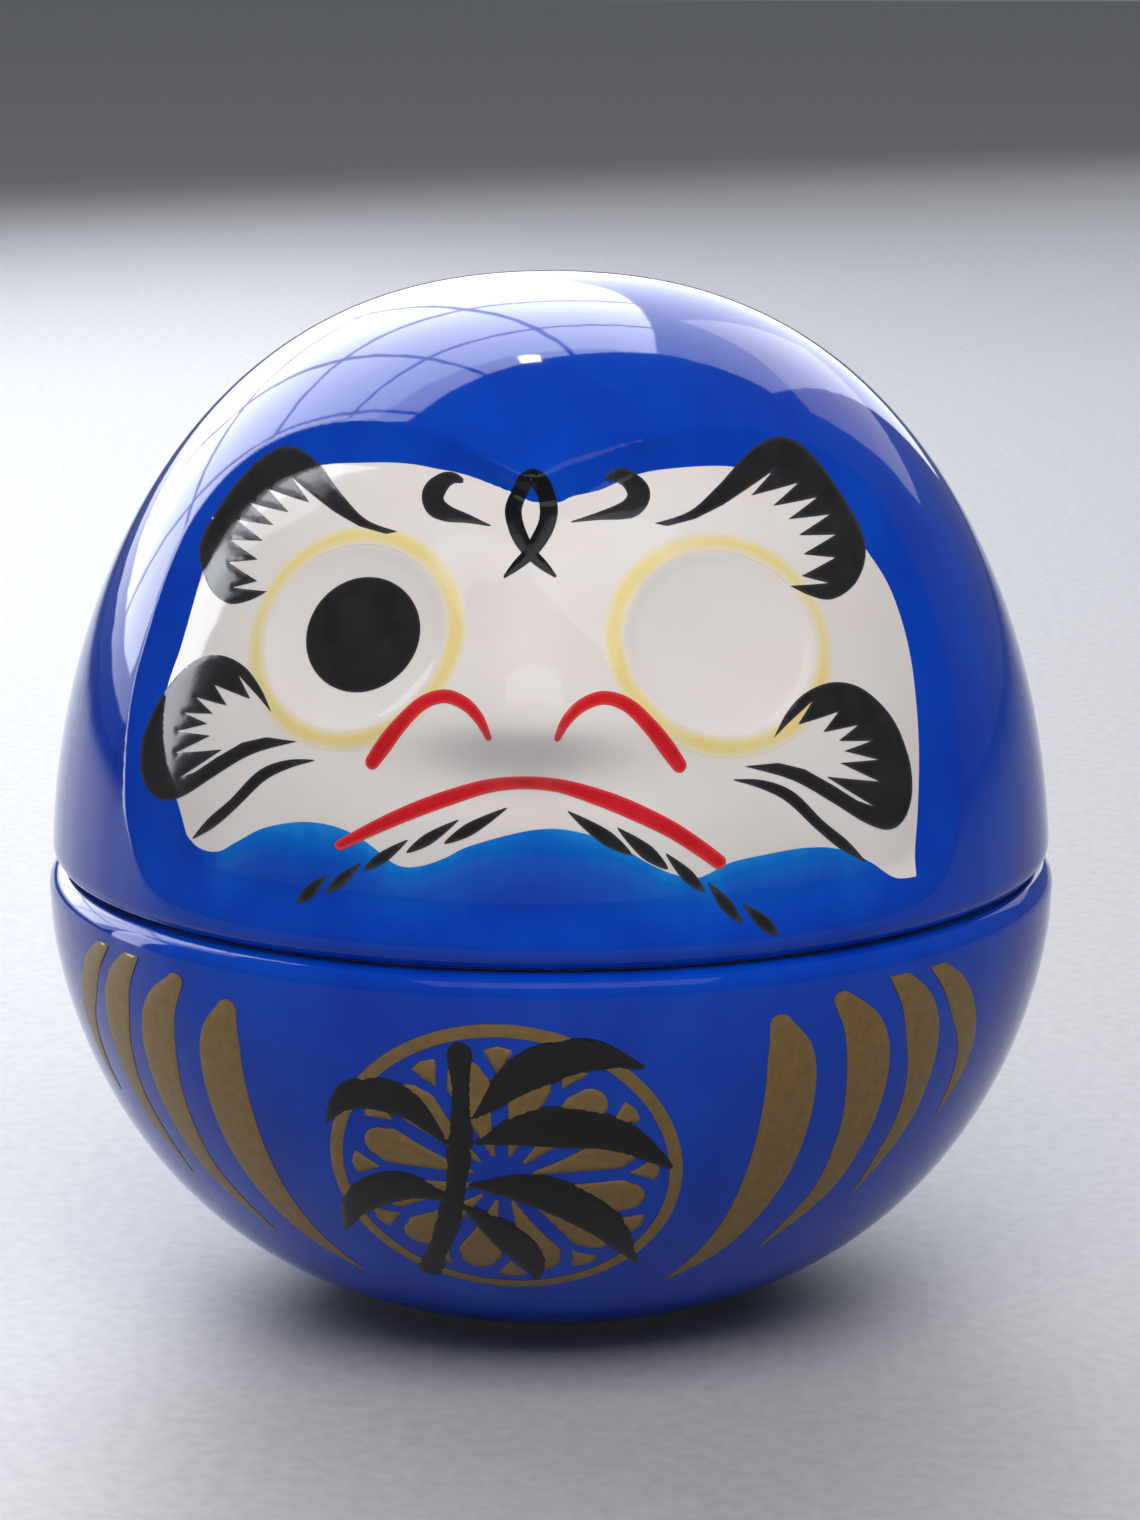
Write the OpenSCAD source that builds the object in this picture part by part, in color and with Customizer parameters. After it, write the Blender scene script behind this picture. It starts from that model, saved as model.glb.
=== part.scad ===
// Round-bottomed lidded bowl in the shape of a wishing doll, in glazed stoneware.
// Millimetres. Base on z = 0, axis on Z, the painted face looks toward -Y.

/* [Overall] */
// widest radius of the bowl
bowl_radius = 55; // [50:0.5:60]
// height of the joint line between bowl and lid
seam_height = 48.3; // [46:0.1:50]
// height of the crown above the joint line
crown_height = 63; // [58:0.5:68]
// widest radius of the lid, a little less than the bowl
lid_radius = 54.6; // [54:0.1:55]

/* [Walls] */
// thickness of the bowl wall
bowl_wall = 4.5; // [4:0.1:5.5]
// thickness of the lid wall
lid_wall = 5; // [4.8:0.1:5.5]
// thickness of the fired blue coat
coat = 0.3; // [0.2:0.05:0.4]
// thickness of the painted enamel and gold
enamel = 0.2; // [0.15:0.05:0.3]
// how far the face lies behind the hood
face_step = 1.3; // [1:0.1:1.6]

/* [Joint] */
// radius where the flat rims begin to round over
rim_outer = 52.4; // [52:0.1:52.8]
// rounding of the bowl shoulder
shoulder = 2.6; // [2:0.1:3]
// rounding of the lid's lower edge
lid_edge = 2.1; // [1.6:0.1:2.4]
// outer radius of the lid's locating flange
flange_outer = 49.8; // [49:0.1:50]
// inner radius of the lid's locating flange
flange_inner = 46.8; // [46:0.1:47.5]
// depth of the locating flange below the joint line
flange_depth = 5; // [3:0.5:7]

/* [Foot] */
// outer radius of the foot ring
foot_outer = 20.5; // [19:0.5:22]
// inner radius of the foot ring
foot_inner = 16.5; // [14:0.5:17.5]
// height of the foot ring
foot_height = 1.6; // [1.2:0.1:2]
// inside floor height
floor_height = 5; // [4:0.5:7]

/* [Face] */
// sideways angle of each eye from the front
eye_turn = 23.6; // [22:0.1:24]
// how far both eyes are turned to the right together
eye_shift = 1.1; // [0:0.1:2]
// radius of the black pupil
pupil_radius = 6.1; // [4:0.1:7]
// middle radius of the yellow ring round the eye
eye_ring_radius = 10.8; // [10:0.1:11]
// width of the yellow ring
eye_ring_width = 1.1; // [0.8:0.1:1.6]
// radius of the ball that makes the nose
nose_ball = 13; // [12:0.5:14]
// how far the nose stands out
nose_out = 3; // [2:0.1:3.5]
// hairs in each painted brow and cheek tuft
hairs = 6; // [4:1:8]

/* [Bowl decoration] */
// radius of the gold ring
medallion_radius = 17.2; // [15:0.1:18]
// width of the gold ring
medallion_line = 1.3; // [0.8:0.1:2]
// petals inside the gold ring
petals = 12; // [8:1:16]
// downward tilt of the medallion
medallion_tilt = 25; // [22:1:28]
// how far the bowl stands turned from the lid on its seat
bowl_turn = -3; // [-6:0.5:6]

/* [Hidden] */
$fn = 96;

// ---- profiles, as [radius, height] points ----
lid_m = 2.38;   // how full the lid's sides are
lid_n = 1.965;  // how round the crown is
lid_drop = 1.96; // the lid's widest line lies this far below the joint
bowl_m = 2.65;  // how full the bowl's sides are
bowl_n = 1.73;  // how round the bottom is
bowl_drop = 3.1; // the bowl's widest line lies this far below the joint
bowl_depth = 46.9; // from the bowl's widest line to the pole of its curve

// t runs from 0 at the widest line to 90 at the pole
function lid_point(t) = [lid_radius * pow(max(cos(t), 0), 2 / lid_m),
  seam_height - lid_drop + (crown_height + lid_drop) * pow(sin(t), 2 / lid_n)];
function bowl_point(t) = [bowl_radius * pow(max(cos(t), 0), 2 / bowl_m),
  seam_height - bowl_drop - bowl_depth * pow(sin(t), 2 / bowl_n)];
function unit(v) = v / norm(v);
function lid_normal(t) = let (d = lid_point(min(t + 0.5, 90)) - lid_point(t - 0.5))
  unit([d[1], -d[0]]);
function bowl_normal(t) = let (d = bowl_point(min(t + 0.5, 90)) - bowl_point(t - 0.5))
  unit([-d[1], d[0]]);
// a point on the curve grown outward by g; the pole stays on the axis
function lid_at(t, g) = t >= 90 ? [0, lid_point(90)[1] + g] : lid_point(t) + g * lid_normal(t);
function bowl_at(t, g) = t >= 90 ? [0, bowl_point(90)[1] - g] : bowl_point(t) + g * bowl_normal(t);
function lid_curve(t0, t1, g, n) = [for (i = [0 : n]) lid_at(t0 + (t1 - t0) * i / n, g)];
function bowl_curve(t0, t1, g, n) = [for (i = [0 : n]) bowl_at(t0 + (t1 - t0) * i / n, g)];
// all bands break at the same places on the curves, so that layers lie flush on each other
lid_step = 86 / 28;  // degrees from one profile point of the lid to the next
bowl_step = 3;       // the same on the bowl
function flip(v) = [for (i = [len(v) - 1 : -1 : 0]) v[i]];
function above(v, z) = [for (p = v) if (p[1] > z) p];
// quarter round from the flat rim to the wall, starting on the rim
function lid_round(g) = [for (a = [-90 : 15 : 0]) [rim_outer, seam_height + lid_edge]
  + (lid_edge + g) * [cos(a), sin(a)]];
function bowl_round(g) = [for (a = [90 : -15 : 0]) [rim_outer, seam_height - shoulder]
  + (shoulder + g) * [cos(a), sin(a)]];

// thin revolved bands that the coats and the paint are cut from
module lid_band(g0, g1, n = 17) let (t1 = 4 + n * lid_step) rotate_extrude()
  polygon(concat(lid_curve(4, t1, g1, n), flip(lid_curve(4, t1, g0, n))));
module bowl_band(g0, g1, n = 19) let (t1 = 6 + n * bowl_step) rotate_extrude()
  polygon(concat(bowl_curve(6, t1, g1, n), flip(bowl_curve(6, t1, g0, n))));

// ---- painted outlines, drawn flat as seen from the front: x, z ----
function bend(a, b, c, d, t) = 0.5 * (2 * b + (c - a) * t + (2 * a - 5 * b + 4 * c - d) * t * t
  + (3 * b - a - 3 * c + d) * t * t * t);
function smooth(v, k) = let (e = len(v) - 1) [for (i = [0 : e - 1], j = [0 : k - 1])
  bend(v[max(i - 1, 0)], v[i], v[i + 1], v[min(i + 2, e)], j / k), v[e]];
// a brush stroke: points are [x, z, width]
function stroke_side(s, side) = [for (i = [0 : len(s) - 1])
  let (a = s[max(i - 1, 0)], b = s[min(i + 1, len(s) - 1)], d = unit([b[0] - a[0], b[1] - a[1]]))
  [s[i][0] - side * d[1] * s[i][2] / 2, s[i][1] + side * d[0] * s[i][2] / 2]];
module stroke(v, k = 4) let (s = smooth(v, k))
  polygon(concat(stroke_side(s, 1), flip(stroke_side(s, -1))));
function arc3(a, b, c, t) = (1 - t) * (1 - t) * a + 2 * t * (1 - t) * b + t * t * c;
// a tuft: a smooth back and a toothed inner edge made of hairs
module tuft(back, before, root, tip, after) polygon(concat(smooth(back, 4), before,
  [for (i = [0 : 2 * hairs]) i % 2 == 0 ? arc3(root[0], root[1], root[2], i / (2 * hairs))
    : arc3(tip[0], tip[1], tip[2], (i - 1) / (2 * hairs - 2))], after));

module brow_outline() tuft(
  [[13.4, 89.9], [18.6, 92.1], [23, 95.6], [27.6, 94.9], [32.2, 90.6], [34.6, 85.9], [33, 82.2],
   [30, 81.9], [27, 83.3]], [],
  [[31, 83.2], [33.6, 90], [25.2, 93.8]], [[28.2, 84.2], [29.4, 89], [23.2, 91.6]],
  [[20, 91.2], [16.6, 90.2]]);
module cheek_outline() tuft(
  [[25.9, 71.9], [28, 75.2], [31.6, 76.3], [35.6, 74.6], [38.9, 70.2], [39.7, 65], [38.4, 61.5],
   [35.6, 62.2], [32, 64.7], [27.8, 67.5], [23.2, 69.6]], [[28.4, 68.7], [32.4, 66.4]],
  [[36.2, 64.4], [38.6, 71.4], [29.8, 74.8]], [[31.4, 67.9], [36, 70.4], [28.3, 72.8]],
  [[27.6, 73.4]]);
module curl_outline() stroke([[7.2, 94, 0.9], [8.9, 94, 1.3], [10.1, 92.7, 2], [9.2, 91.2, 1.5],
  [6.6, 90.7, 1], [4.1, 89.9, 0.2]]);
module knot_outline() for (s = [-1, 1]) scale([s, 1]) stroke([[-2.4, 86.1, 0.4], [0, 88.2, 1.3],
  [1.5, 90.5, 1.7], [1.8, 92.8, 1.8], [0.9, 94.5, 1.6], [-0.2, 95.1, 1]]);
module streak_outline() stroke([[21.2, 67.8, 0.2], [26.6, 65.8, 1], [31, 61.2, 1.1],
  [34, 58.4, 0.2]]);
module nose_outline() stroke([[3.3, 70.9, 0.5], [4.6, 73, 0.8], [7.2, 74.5, 1], [10.1, 73.8, 1.2],
  [13, 71, 1.3], [15.1, 68.5, 1.1]]);
module mouth_outline() stroke([[-18.5, 59.9, 0.9], [-13, 62.8, 1.3], [-7.4, 65.2, 1.4],
  [0, 66.9, 1.1], [7.3, 65.4, 1.5], [13.6, 62.7, 1.5], [19.3, 58.6, 1.2]]);
module whisker_outlines() for (w = [[[3, 64.2], [9.3, 60.3]], [[7.8, 62.8], [13, 59]],
    [[12.8, 60.4], [17, 56.7]], [[17.3, 57.5], [20.7, 53.7]], [[20.8, 55.5], [23.8, 52]]])
  stroke([[w[0][0], w[0][1], 0.15], [(w[0][0] + w[1][0]) / 2, (w[0][1] + w[1][1]) / 2 + 0.2, 1.1],
    [w[1][0], w[1][1], 0.15]]);
// the white face: hood edge with its middle point above, beard edge below
module face_outline() polygon(smooth([[0.2, 93], [4.1, 93.5], [10.7, 95.4], [17, 95.9], [24, 94.8],
  [30.4, 91.2], [34.6, 85.8], [37.9, 78.6], [39.4, 70], [39.6, 62], [38.8, 54.4], [34.7, 56.6],
  [28, 59.1], [22, 58.6], [17.4, 57.2], [11.5, 59.4], [5.6, 62.1], [-0.5, 62], [-6, 60.4],
  [-10.6, 58.5], [-15.4, 60.1], [-20.4, 61.8], [-27, 60.4], [-33, 57.5], [-36, 60.4], [-38.2, 65],
  [-38.4, 70], [-36.9, 76], [-34.6, 83], [-31, 89], [-26, 93.4], [-20, 95.6], [-13.1, 96.2],
  [-6.5, 95.3], [0.2, 93]], 3));

// gold strokes on the bowl: rounded top, pointed end that turns toward the middle
stripe_list = [[[28, 41.6, 2.2], [28.8, 35.4, 4.7], [26.8, 26, 4.4], [22.6, 18, 2.6], [15.8, 11.4, 0.2]],
  [[34.2, 43.2, 2], [36.4, 36.8, 4.2], [34.8, 27.4, 3], [31, 20.4, 1.7], [25.3, 14.5, 0.2]],
  [[39.6, 44.9, 1.5], [41.6, 39.4, 3.2], [41, 31.6, 2.2], [38.4, 25, 1.2], [34.8, 19.6, 0.2]],
  [[43.4, 45, 1.2], [45.6, 40.4, 2.2], [45.9, 35.6, 1.7], [44.9, 31, 1], [43.3, 27.2, 0.2]]];

module bamboo_outline() {
  for (s = [[[-8.6, -15.4, 2.8], [-7.4, -11.4, 2.2], [-6.2, -7.2, 2.8]],
      [[-5.8, -5.8, 2.8], [-4.9, -1.2, 2.1], [-4.3, 3.2, 2.7]],
      [[-4.1, 4.6, 2.7], [-3.8, 9.4, 2], [-3.8, 14.6, 2.6]]]) stroke(s);
  for (s = [[[-5.2, 4, 0.4], [-9.6, 8.6, 3.8], [-15, 8.4, 3.2], [-18, 4.4, 0.3]],
      [[-2.8, 7.4, 0.5], [2.4, 12.6, 4.2], [8.6, 14.4, 3.6], [14.4, 12.4, 0.3]],
      [[-2.6, 4.6, 0.5], [4, 6.6, 4.8], [11.4, 5, 4], [17.2, -0.6, 0.3]],
      [[-4.8, -3.2, 0.5], [-10.4, -2.2, 4], [-15.2, -5.6, 3.4], [-17.4, -11.4, 0.3]],
      [[-3.6, -1, 0.5], [3.4, -1.6, 4.6], [9.4, -6.4, 4.4], [12.8, -14.4, 0.3]],
      [[-4.6, -3.6, 0.5], [-0.4, -8, 4], [2, -12.2, 3.4], [2.4, -16.4, 0.3]]]) stroke(s);
}

// the painter's hand: the right brow and cheek sit a little off the mirrored left ones
brow_hand = [-0.9, 1];
cheek_hand = [-1.4, -1.8];
streak_hand = [-0.6, -1.6];
module hand(side, shift) translate(side > 0 ? shift : [0, 0]) children();

// ---- placing the flat outlines ----
module facing_front() rotate([90, 0, 0]) linear_extrude(height = 64) children();
module facing_medallion() rotate([0, 0, bowl_turn]) translate([0.4, -47.7, 27])
  rotate([90 + medallion_tilt, 0, 0]) translate([0, 0, -10]) linear_extrude(height = 26) children();
module mirrored(side) scale([side, 1]) children();

// ---- the lid's face ----
eye_t = 31.8; // place of the eye on the lid's curve
eye_deep = 1.5; // depth of the eye's shallow dish at its middle
eye_dish = 77; // radius of the ball that hollows the eye
nose_t = 25.5; // place of the nose on the lid's curve
module on_curve(turn, t, g, away) let (p = lid_at(t, g), n = lid_normal(t)) rotate([0, 0, turn])
  translate([0, -p[0] - away * n[0], p[1] + away * n[1]])
  rotate([90 - atan2(n[1], n[0]), 0, 0]) children();
module nose_shape(g) on_curve(0, nose_t, -face_step, nose_out - nose_ball) sphere(r = nose_ball + g);
module eye_ball(side, g) on_curve(side * eye_turn + eye_shift, eye_t, -face_step, eye_dish - eye_deep)
  sphere(r = eye_dish - g);
module eye_tube(side, outer, inner) on_curve(side * eye_turn + eye_shift, eye_t, -face_step, -12)
  difference() {
    cylinder(r = outer, h = 26);
    if (inner > 0) translate([0, 0, -1]) cylinder(r = inner, h = 28);
  }
// paint that lies on the face, or over the nose, or on the blue coat
module face_paint() intersection() {
  facing_front() children();
  lid_band(-face_step, -face_step + enamel);
}
module nose_paint() difference() {
  intersection() {
    facing_front() children();
    lid_band(-face_step, 4);
    union() {
      lid_band(-face_step, -face_step + enamel);
      nose_shape(enamel);
    }
  }
  nose_shape(0);
}
module coat_paint() intersection() {
  facing_front() children();
  lid_band(0, enamel);
}

// paint that runs from the face up over the blue coat
module both_levels() {
  face_paint() intersection() {
    children();
    face_outline();
  }
  coat_paint() difference() {
    children();
    face_outline();
  }
}

// ---- the pieces of the bowl ----
module bowl_body() color("#EDE8DF") difference() {
  rotate_extrude() polygon(concat(
    [[0, foot_height - 0.4], [foot_inner, foot_height - 0.4], [foot_inner, 0.2],
     [foot_inner + 0.2, 0], [foot_outer - 0.4, 0], [foot_outer, 0.4], [foot_outer, foot_height]],
    flip(above(bowl_curve(6, 84, -coat, 26), foot_height)),
    flip(bowl_round(-coat)), [[rim_outer, seam_height], [bowl_radius - bowl_wall, seam_height]],
    above(bowl_curve(6, 84, -bowl_wall, 26), floor_height), [[30, floor_height], [0, floor_height]]));
}
module bowl_blue_glaze() color("#0A2FA8") rotate_extrude() polygon(concat(
  [[rim_outer, seam_height]], bowl_round(0), above(bowl_curve(6, 84, 0, 26), foot_height),
  flip(above(bowl_curve(6, 84, -coat, 26), foot_height)), flip(bowl_round(-coat))));
module gold_stripe(side, i) color("#9A7438") intersection() {
  rotate([0, 0, bowl_turn]) facing_front() mirrored(side) stroke(stripe_list[i]);
  bowl_band(0, enamel);
}
module medallion_ring() color("#9A7438") intersection() {
  facing_medallion() difference() {
    circle(r = medallion_radius + medallion_line / 2);
    circle(r = medallion_radius - medallion_line / 2);
    bamboo_outline();
  }
  bowl_band(0, enamel);
}
module medallion_petals() color("#9A7438") intersection() {
  facing_medallion() difference() {
    for (i = [0 : petals - 1]) rotate(360 * (i + 0.5) / petals) {
      stroke([[0, 3.2, 0.5], [0, 8, 2.6], [0, 11.8, 4.3], [0, 14, 1.6]]);
      rotate(180 / petals) polygon([[0, 12.6], [1.5, 15.2], [-1.5, 15.2]]);
    }
    bamboo_outline();
  }
  bowl_band(0, enamel);
}
module bamboo_motif() color("#15130F") intersection() {
  facing_medallion() bamboo_outline();
  bowl_band(0, enamel);
}

// ---- the pieces of the lid ----
module lid_body() color("#EFEBE4") union() {
  difference() {
    rotate_extrude() polygon(concat(
      [[flange_inner, seam_height - flange_depth], [flange_outer - 0.6, seam_height - flange_depth],
       [flange_outer, seam_height - flange_depth + 0.6], [flange_outer, seam_height],
       [rim_outer, seam_height]], lid_round(-coat), lid_curve(4, 90, -coat, 28),
      flip(lid_curve(10, 90, -lid_wall, 26)), [[flange_inner, seam_height + 3]]));
    intersection() {
      facing_front() face_outline();
      lid_band(-face_step, 2, 18);
    }
    for (side = [-1, 1]) eye_ball(side, 0);
  }
  intersection() {
    nose_shape(0);
    lid_band(-face_step - 1.6, 4);
  }
}
module lid_blue_glaze() color("#0A2FA8") difference() {
  rotate_extrude() polygon(concat([[rim_outer, seam_height]], lid_round(0), lid_curve(4, 90, 0, 28),
    flip(lid_curve(4, 90, -coat, 28)), flip(lid_round(-coat))));
  facing_front() face_outline();
}
module eye_ring(side) color("#E9D27A") difference() {
  intersection() {
    eye_tube(side, eye_ring_radius + eye_ring_width / 2, eye_ring_radius - eye_ring_width / 2);
    lid_band(-face_step, -face_step + enamel);
  }
  nose_shape(0);
  facing_front() mirrored(side) {
    nose_outline();
    hand(side, brow_hand) brow_outline();
    hand(side, cheek_hand) cheek_outline();
    hand(side, streak_hand) streak_outline();
  }
}
module eye_pupil_left() color("#141310") intersection() {
  eye_tube(-1, pupil_radius, 0);
  difference() {
    eye_ball(-1, 0);
    eye_ball(-1, enamel);
  }
}
module brow(side) color("#161410") both_levels() mirrored(side)
  hand(side, brow_hand) brow_outline();
module curl(side) color("#161410") face_paint() mirrored(side) curl_outline();
module forehead_knot() color("#161410") both_levels() knot_outline();
module cheek_tuft(side) color("#161410") {
  if (side < 0) both_levels() mirrored(side) cheek_outline();
  if (side > 0) face_paint() hand(side, cheek_hand) cheek_outline();
}
module cheek_streak(side) color("#161410") face_paint() intersection() {
  mirrored(side) hand(side, streak_hand) streak_outline();
  face_outline();
}
module nose_line(side) color("#D1141E") nose_paint() mirrored(side) nose_outline();
module mouth_line() color("#D1141E") {
  nose_paint() intersection() {
    mouth_outline();
    face_outline();
  }
  coat_paint() difference() {
    mouth_outline();
    face_outline();
  }
}
module whiskers(side) color("#161410") both_levels() mirrored(side) whisker_outlines();

bowl_body();
bowl_blue_glaze();
gold_stripe(-1, 0);  // gold_stripe_left_1
gold_stripe(-1, 1);  // gold_stripe_left_2
gold_stripe(-1, 2);  // gold_stripe_left_3
gold_stripe(-1, 3);  // gold_stripe_left_4
gold_stripe(1, 0);  // gold_stripe_right_1
gold_stripe(1, 1);  // gold_stripe_right_2
gold_stripe(1, 2);  // gold_stripe_right_3
gold_stripe(1, 3);  // gold_stripe_right_4
medallion_ring();
medallion_petals();
bamboo_motif();
lid_body();
lid_blue_glaze();
eye_ring(-1);  // eye_ring_left
eye_ring(1);  // eye_ring_right
eye_pupil_left();
brow(-1);  // brow_left
brow(1);  // brow_right
curl(-1);  // curl_left
curl(1);  // curl_right
forehead_knot();
cheek_tuft(-1);  // cheek_tuft_left
cheek_tuft(1);  // cheek_tuft_right
cheek_streak(-1);  // cheek_streak_left
cheek_streak(1);  // cheek_streak_right
nose_line(-1);  // nose_line_left
nose_line(1);  // nose_line_right
mouth_line();
whiskers(-1);  // whiskers_left
whiskers(1);  // whiskers_right
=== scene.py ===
"""Looks of a glazed stoneware lidded bowl in the shape of a wishing doll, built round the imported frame."""
import math

import bmesh
import bpy
import numpy as np
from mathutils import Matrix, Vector
from mathutils.geometry import delaunay_2d_cdt


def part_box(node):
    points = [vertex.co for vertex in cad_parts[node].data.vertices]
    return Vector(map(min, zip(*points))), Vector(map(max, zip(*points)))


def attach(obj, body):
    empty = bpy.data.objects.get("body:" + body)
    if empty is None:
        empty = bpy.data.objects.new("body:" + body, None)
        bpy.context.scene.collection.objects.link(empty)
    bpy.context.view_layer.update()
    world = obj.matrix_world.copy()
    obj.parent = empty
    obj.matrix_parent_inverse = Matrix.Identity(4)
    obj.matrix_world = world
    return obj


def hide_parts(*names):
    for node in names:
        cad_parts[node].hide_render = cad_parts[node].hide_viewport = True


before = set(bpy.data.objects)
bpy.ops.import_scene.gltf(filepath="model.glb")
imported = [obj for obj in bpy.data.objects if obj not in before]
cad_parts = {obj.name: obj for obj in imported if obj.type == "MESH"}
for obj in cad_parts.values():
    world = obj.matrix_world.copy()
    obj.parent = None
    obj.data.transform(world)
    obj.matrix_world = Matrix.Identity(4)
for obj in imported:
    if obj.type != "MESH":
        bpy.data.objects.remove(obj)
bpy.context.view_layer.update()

# ---- sizes, in millimetres, taken from the frame where it has them ----
MM = 0.001


def top_of(node):
    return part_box(node)[1].z / MM


SEAM = top_of("bowl_body")  # the flat rim where lid meets bowl
CROWN = top_of("lid_blue_glaze")  # top of the lid
BOWL_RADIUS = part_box("bowl_blue_glaze")[1].x / MM
LID_RADIUS = BOWL_RADIUS - 0.4  # the lid is a little narrower
COAT = 0.3  # thickness of the fired blue coat
FACE_STEP = 1.3  # the face lies this far behind the hood
NOSE_OUT, NOSE_Z = 3.9, 72.4  # how far the nose stands out, and its highest place
EYE_DISH = 1.4  # depth of the hollow round each eye
BOWL_WALL, LID_WALL = 4.5, 5.0
BOWL_INNER = BOWL_RADIUS - BOWL_WALL
RIM_OUTER = 52.4  # the flat rims end here and round over
SHOULDER, LID_EDGE = 2.6, 2.1  # roundings of bowl rim and lid edge
FLANGE_OUTER, FLANGE_INNER, FLANGE_DEPTH = 49.8, 46.8, 5.0
FOOT_OUTER, FOOT_INNER, FOOT_HEIGHT, FLOOR = 20.5, 16.5, 1.6, 5.0
BOWL_TURN = math.radians(-3)  # the bowl stands turned a little under the lid
MEDALLION_TILT = math.radians(25)
MEDALLION_CENTRE = np.array([0.4, -47.7, 27.0])
# each eye: angle round the lid, place on its profile, half width and half height of the ring's middle line
EYES = {-1: (math.radians(-22.6), 32.1, 11.2, 10.7), 1: (math.radians(24.8), 31.6, 11.4, 10.6)}
PUPIL = (math.radians(-21.7), 32.5, 6.5, 6.05)
EYE_RING_HALF = 1.05  # half the breadth of the yellow line
COAT_STEP = 0.12  # the blue glaze stands this far over the white one
COAT_THIN = 0.05  # and this far where it thins out
WHITE_SUNK = 0.105  # the white glaze lies this far inside the turned curve
COAT_ROOT = 0.12  # the blue coat starts this far under the white glaze
DRAWN_AT = -1.0  # outlines are drawn on the lid's curve moved in by this much

LID_FORM = dict(radius=LID_RADIUS, drop=1.96, rise=CROWN - SEAM + 1.96, sides=2.38, pole=1.965, up=1)
BOWL_FORM = dict(radius=BOWL_RADIUS, drop=3.1, rise=46.9, sides=2.65, pole=1.73, up=-1)


# ---- the turned profiles ----
def curve_point(form, t):
    """Radius and height on the profile; t is 0 at the widest line and 90 at the pole."""
    c, s = np.clip(np.cos(np.radians(t)), 0, 1), np.clip(np.sin(np.radians(t)), 0, 1)
    return (form["radius"] * c ** (2 / form["sides"]),
            SEAM - form["drop"] + form["up"] * form["rise"] * s ** (2 / form["pole"]))


def curve_normal(form, t):
    t = np.asarray(t, float)
    r1, z1 = curve_point(form, np.minimum(t + 0.5, 90))
    r0, z0 = curve_point(form, np.maximum(t - 0.5, 0))
    nr, nz = form["up"] * (z1 - z0), -form["up"] * (r1 - r0)
    size = np.hypot(nr, nz)
    pole = t > 89.99
    return np.where(pole, 0, nr / size), np.where(pole, form["up"], nz / size)


def grown(form, t, out):
    """Profile point moved out along its normal."""
    r, z = curve_point(form, t)
    nr, nz = curve_normal(form, t)
    return np.where(np.asarray(t) > 89.99, 0, r + nr * out), z + nz * out


def place(form, turn, t, out):
    """Points in space at an angle round the axis (0 in front), a place on the profile, a lift."""
    r, z = curve_point(form, t)
    nr, nz = curve_normal(form, t)
    r = np.where(np.asarray(t) > 89.99, 0, r)
    return np.stack([(r + nr * out) * np.sin(turn), -(r + nr * out) * np.cos(turn), z + nz * out], -1)


# ---- flat drawing tools ----
def bend(a, b, c, d, t):
    return 0.5 * (2 * b + (c - a) * t + (2 * a - 5 * b + 4 * c - d) * t ** 2
                  + (3 * b - a - 3 * c + d) * t ** 3)


def smooth(points, steps=6, closed=False):
    """A smooth line through the given points."""
    p = np.array(points, float)
    n = len(p)
    out = []
    for i in range(n if closed else n - 1):
        near = [p[(i + k) % n] if closed else p[min(max(i + k, 0), n - 1)] for k in (-1, 0, 1, 2)]
        out += [bend(*near, j / steps) for j in range(steps)]
    return np.array(out if closed else out + [p[-1]])


def resample(loop, spacing):
    """The closed loop again, in even steps."""
    p = np.vstack([loop, loop[:1]])
    along = np.concatenate([[0], np.cumsum(np.hypot(*np.diff(p, axis=0).T))])
    n = max(8, int(round(along[-1] / spacing)))
    at = np.linspace(0, along[-1], n, endpoint=False)
    return np.stack([np.interp(at, along, p[:, k]) for k in (0, 1)], -1)


def brushed(points):
    """Middle line of a brush stroke, the directions along and across it, and its half widths."""
    s = smooth(points, 8)
    along = np.gradient(s[:, :2], axis=0)
    along /= np.hypot(along[:, 0], along[:, 1])[:, None] + 1e-9
    return s[:, :2], along, np.stack([-along[:, 1], along[:, 0]], -1), s[:, 2:3] / 2


def stroke(points):
    """Outline of a pointed brush stroke; points are x, z, width."""
    middle, _, across, half = brushed(points)
    return np.vstack([middle + across * half, (middle - across * half)[::-1]])


def round_ends(points):
    """Outline of a brush stroke with a rounded start and end; points are x, z, width."""
    middle, along, across, half = brushed(points)
    turn = np.linspace(0, math.pi, 7)[1:-1, None]
    start = middle[0] - (np.cos(turn) * across[0] + np.sin(turn) * along[0]) * half[0]
    end = middle[-1] + (np.cos(turn) * across[-1] + np.sin(turn) * along[-1]) * half[-1]
    return np.vstack([middle + across * half, end, (middle - across * half)[::-1], start])


def arc3(p, t):
    a, b, c = (np.array(v, float) for v in p)
    return (1 - t) ** 2 * a + 2 * t * (1 - t) * b + t * t * c


def tuft(back, before, root, tip, after, hairs=6):
    """Smooth back, toothed inner edge: the brow and cheek tufts."""
    teeth = []
    for i in range(2 * hairs + 1):
        if i % 2 == 0:
            teeth.append(arc3(root, i / (2 * hairs)))
        else:
            teeth.append(arc3(tip, (i - 1) / (2 * hairs - 2)))
    rows = [smooth(back, 6)] + ([np.array(before, float)] if before else []) + [np.array(teeth)]
    return np.vstack(rows + [np.array(after, float)])


def by_hand(loop, side, off=(0, 0)):
    """The same mark on either side of the face; the right one sits a little off, as a painter leaves it."""
    return (loop * np.array([-1.0, 1.0]))[::-1] if side < 0 else loop + np.array(off)


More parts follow.
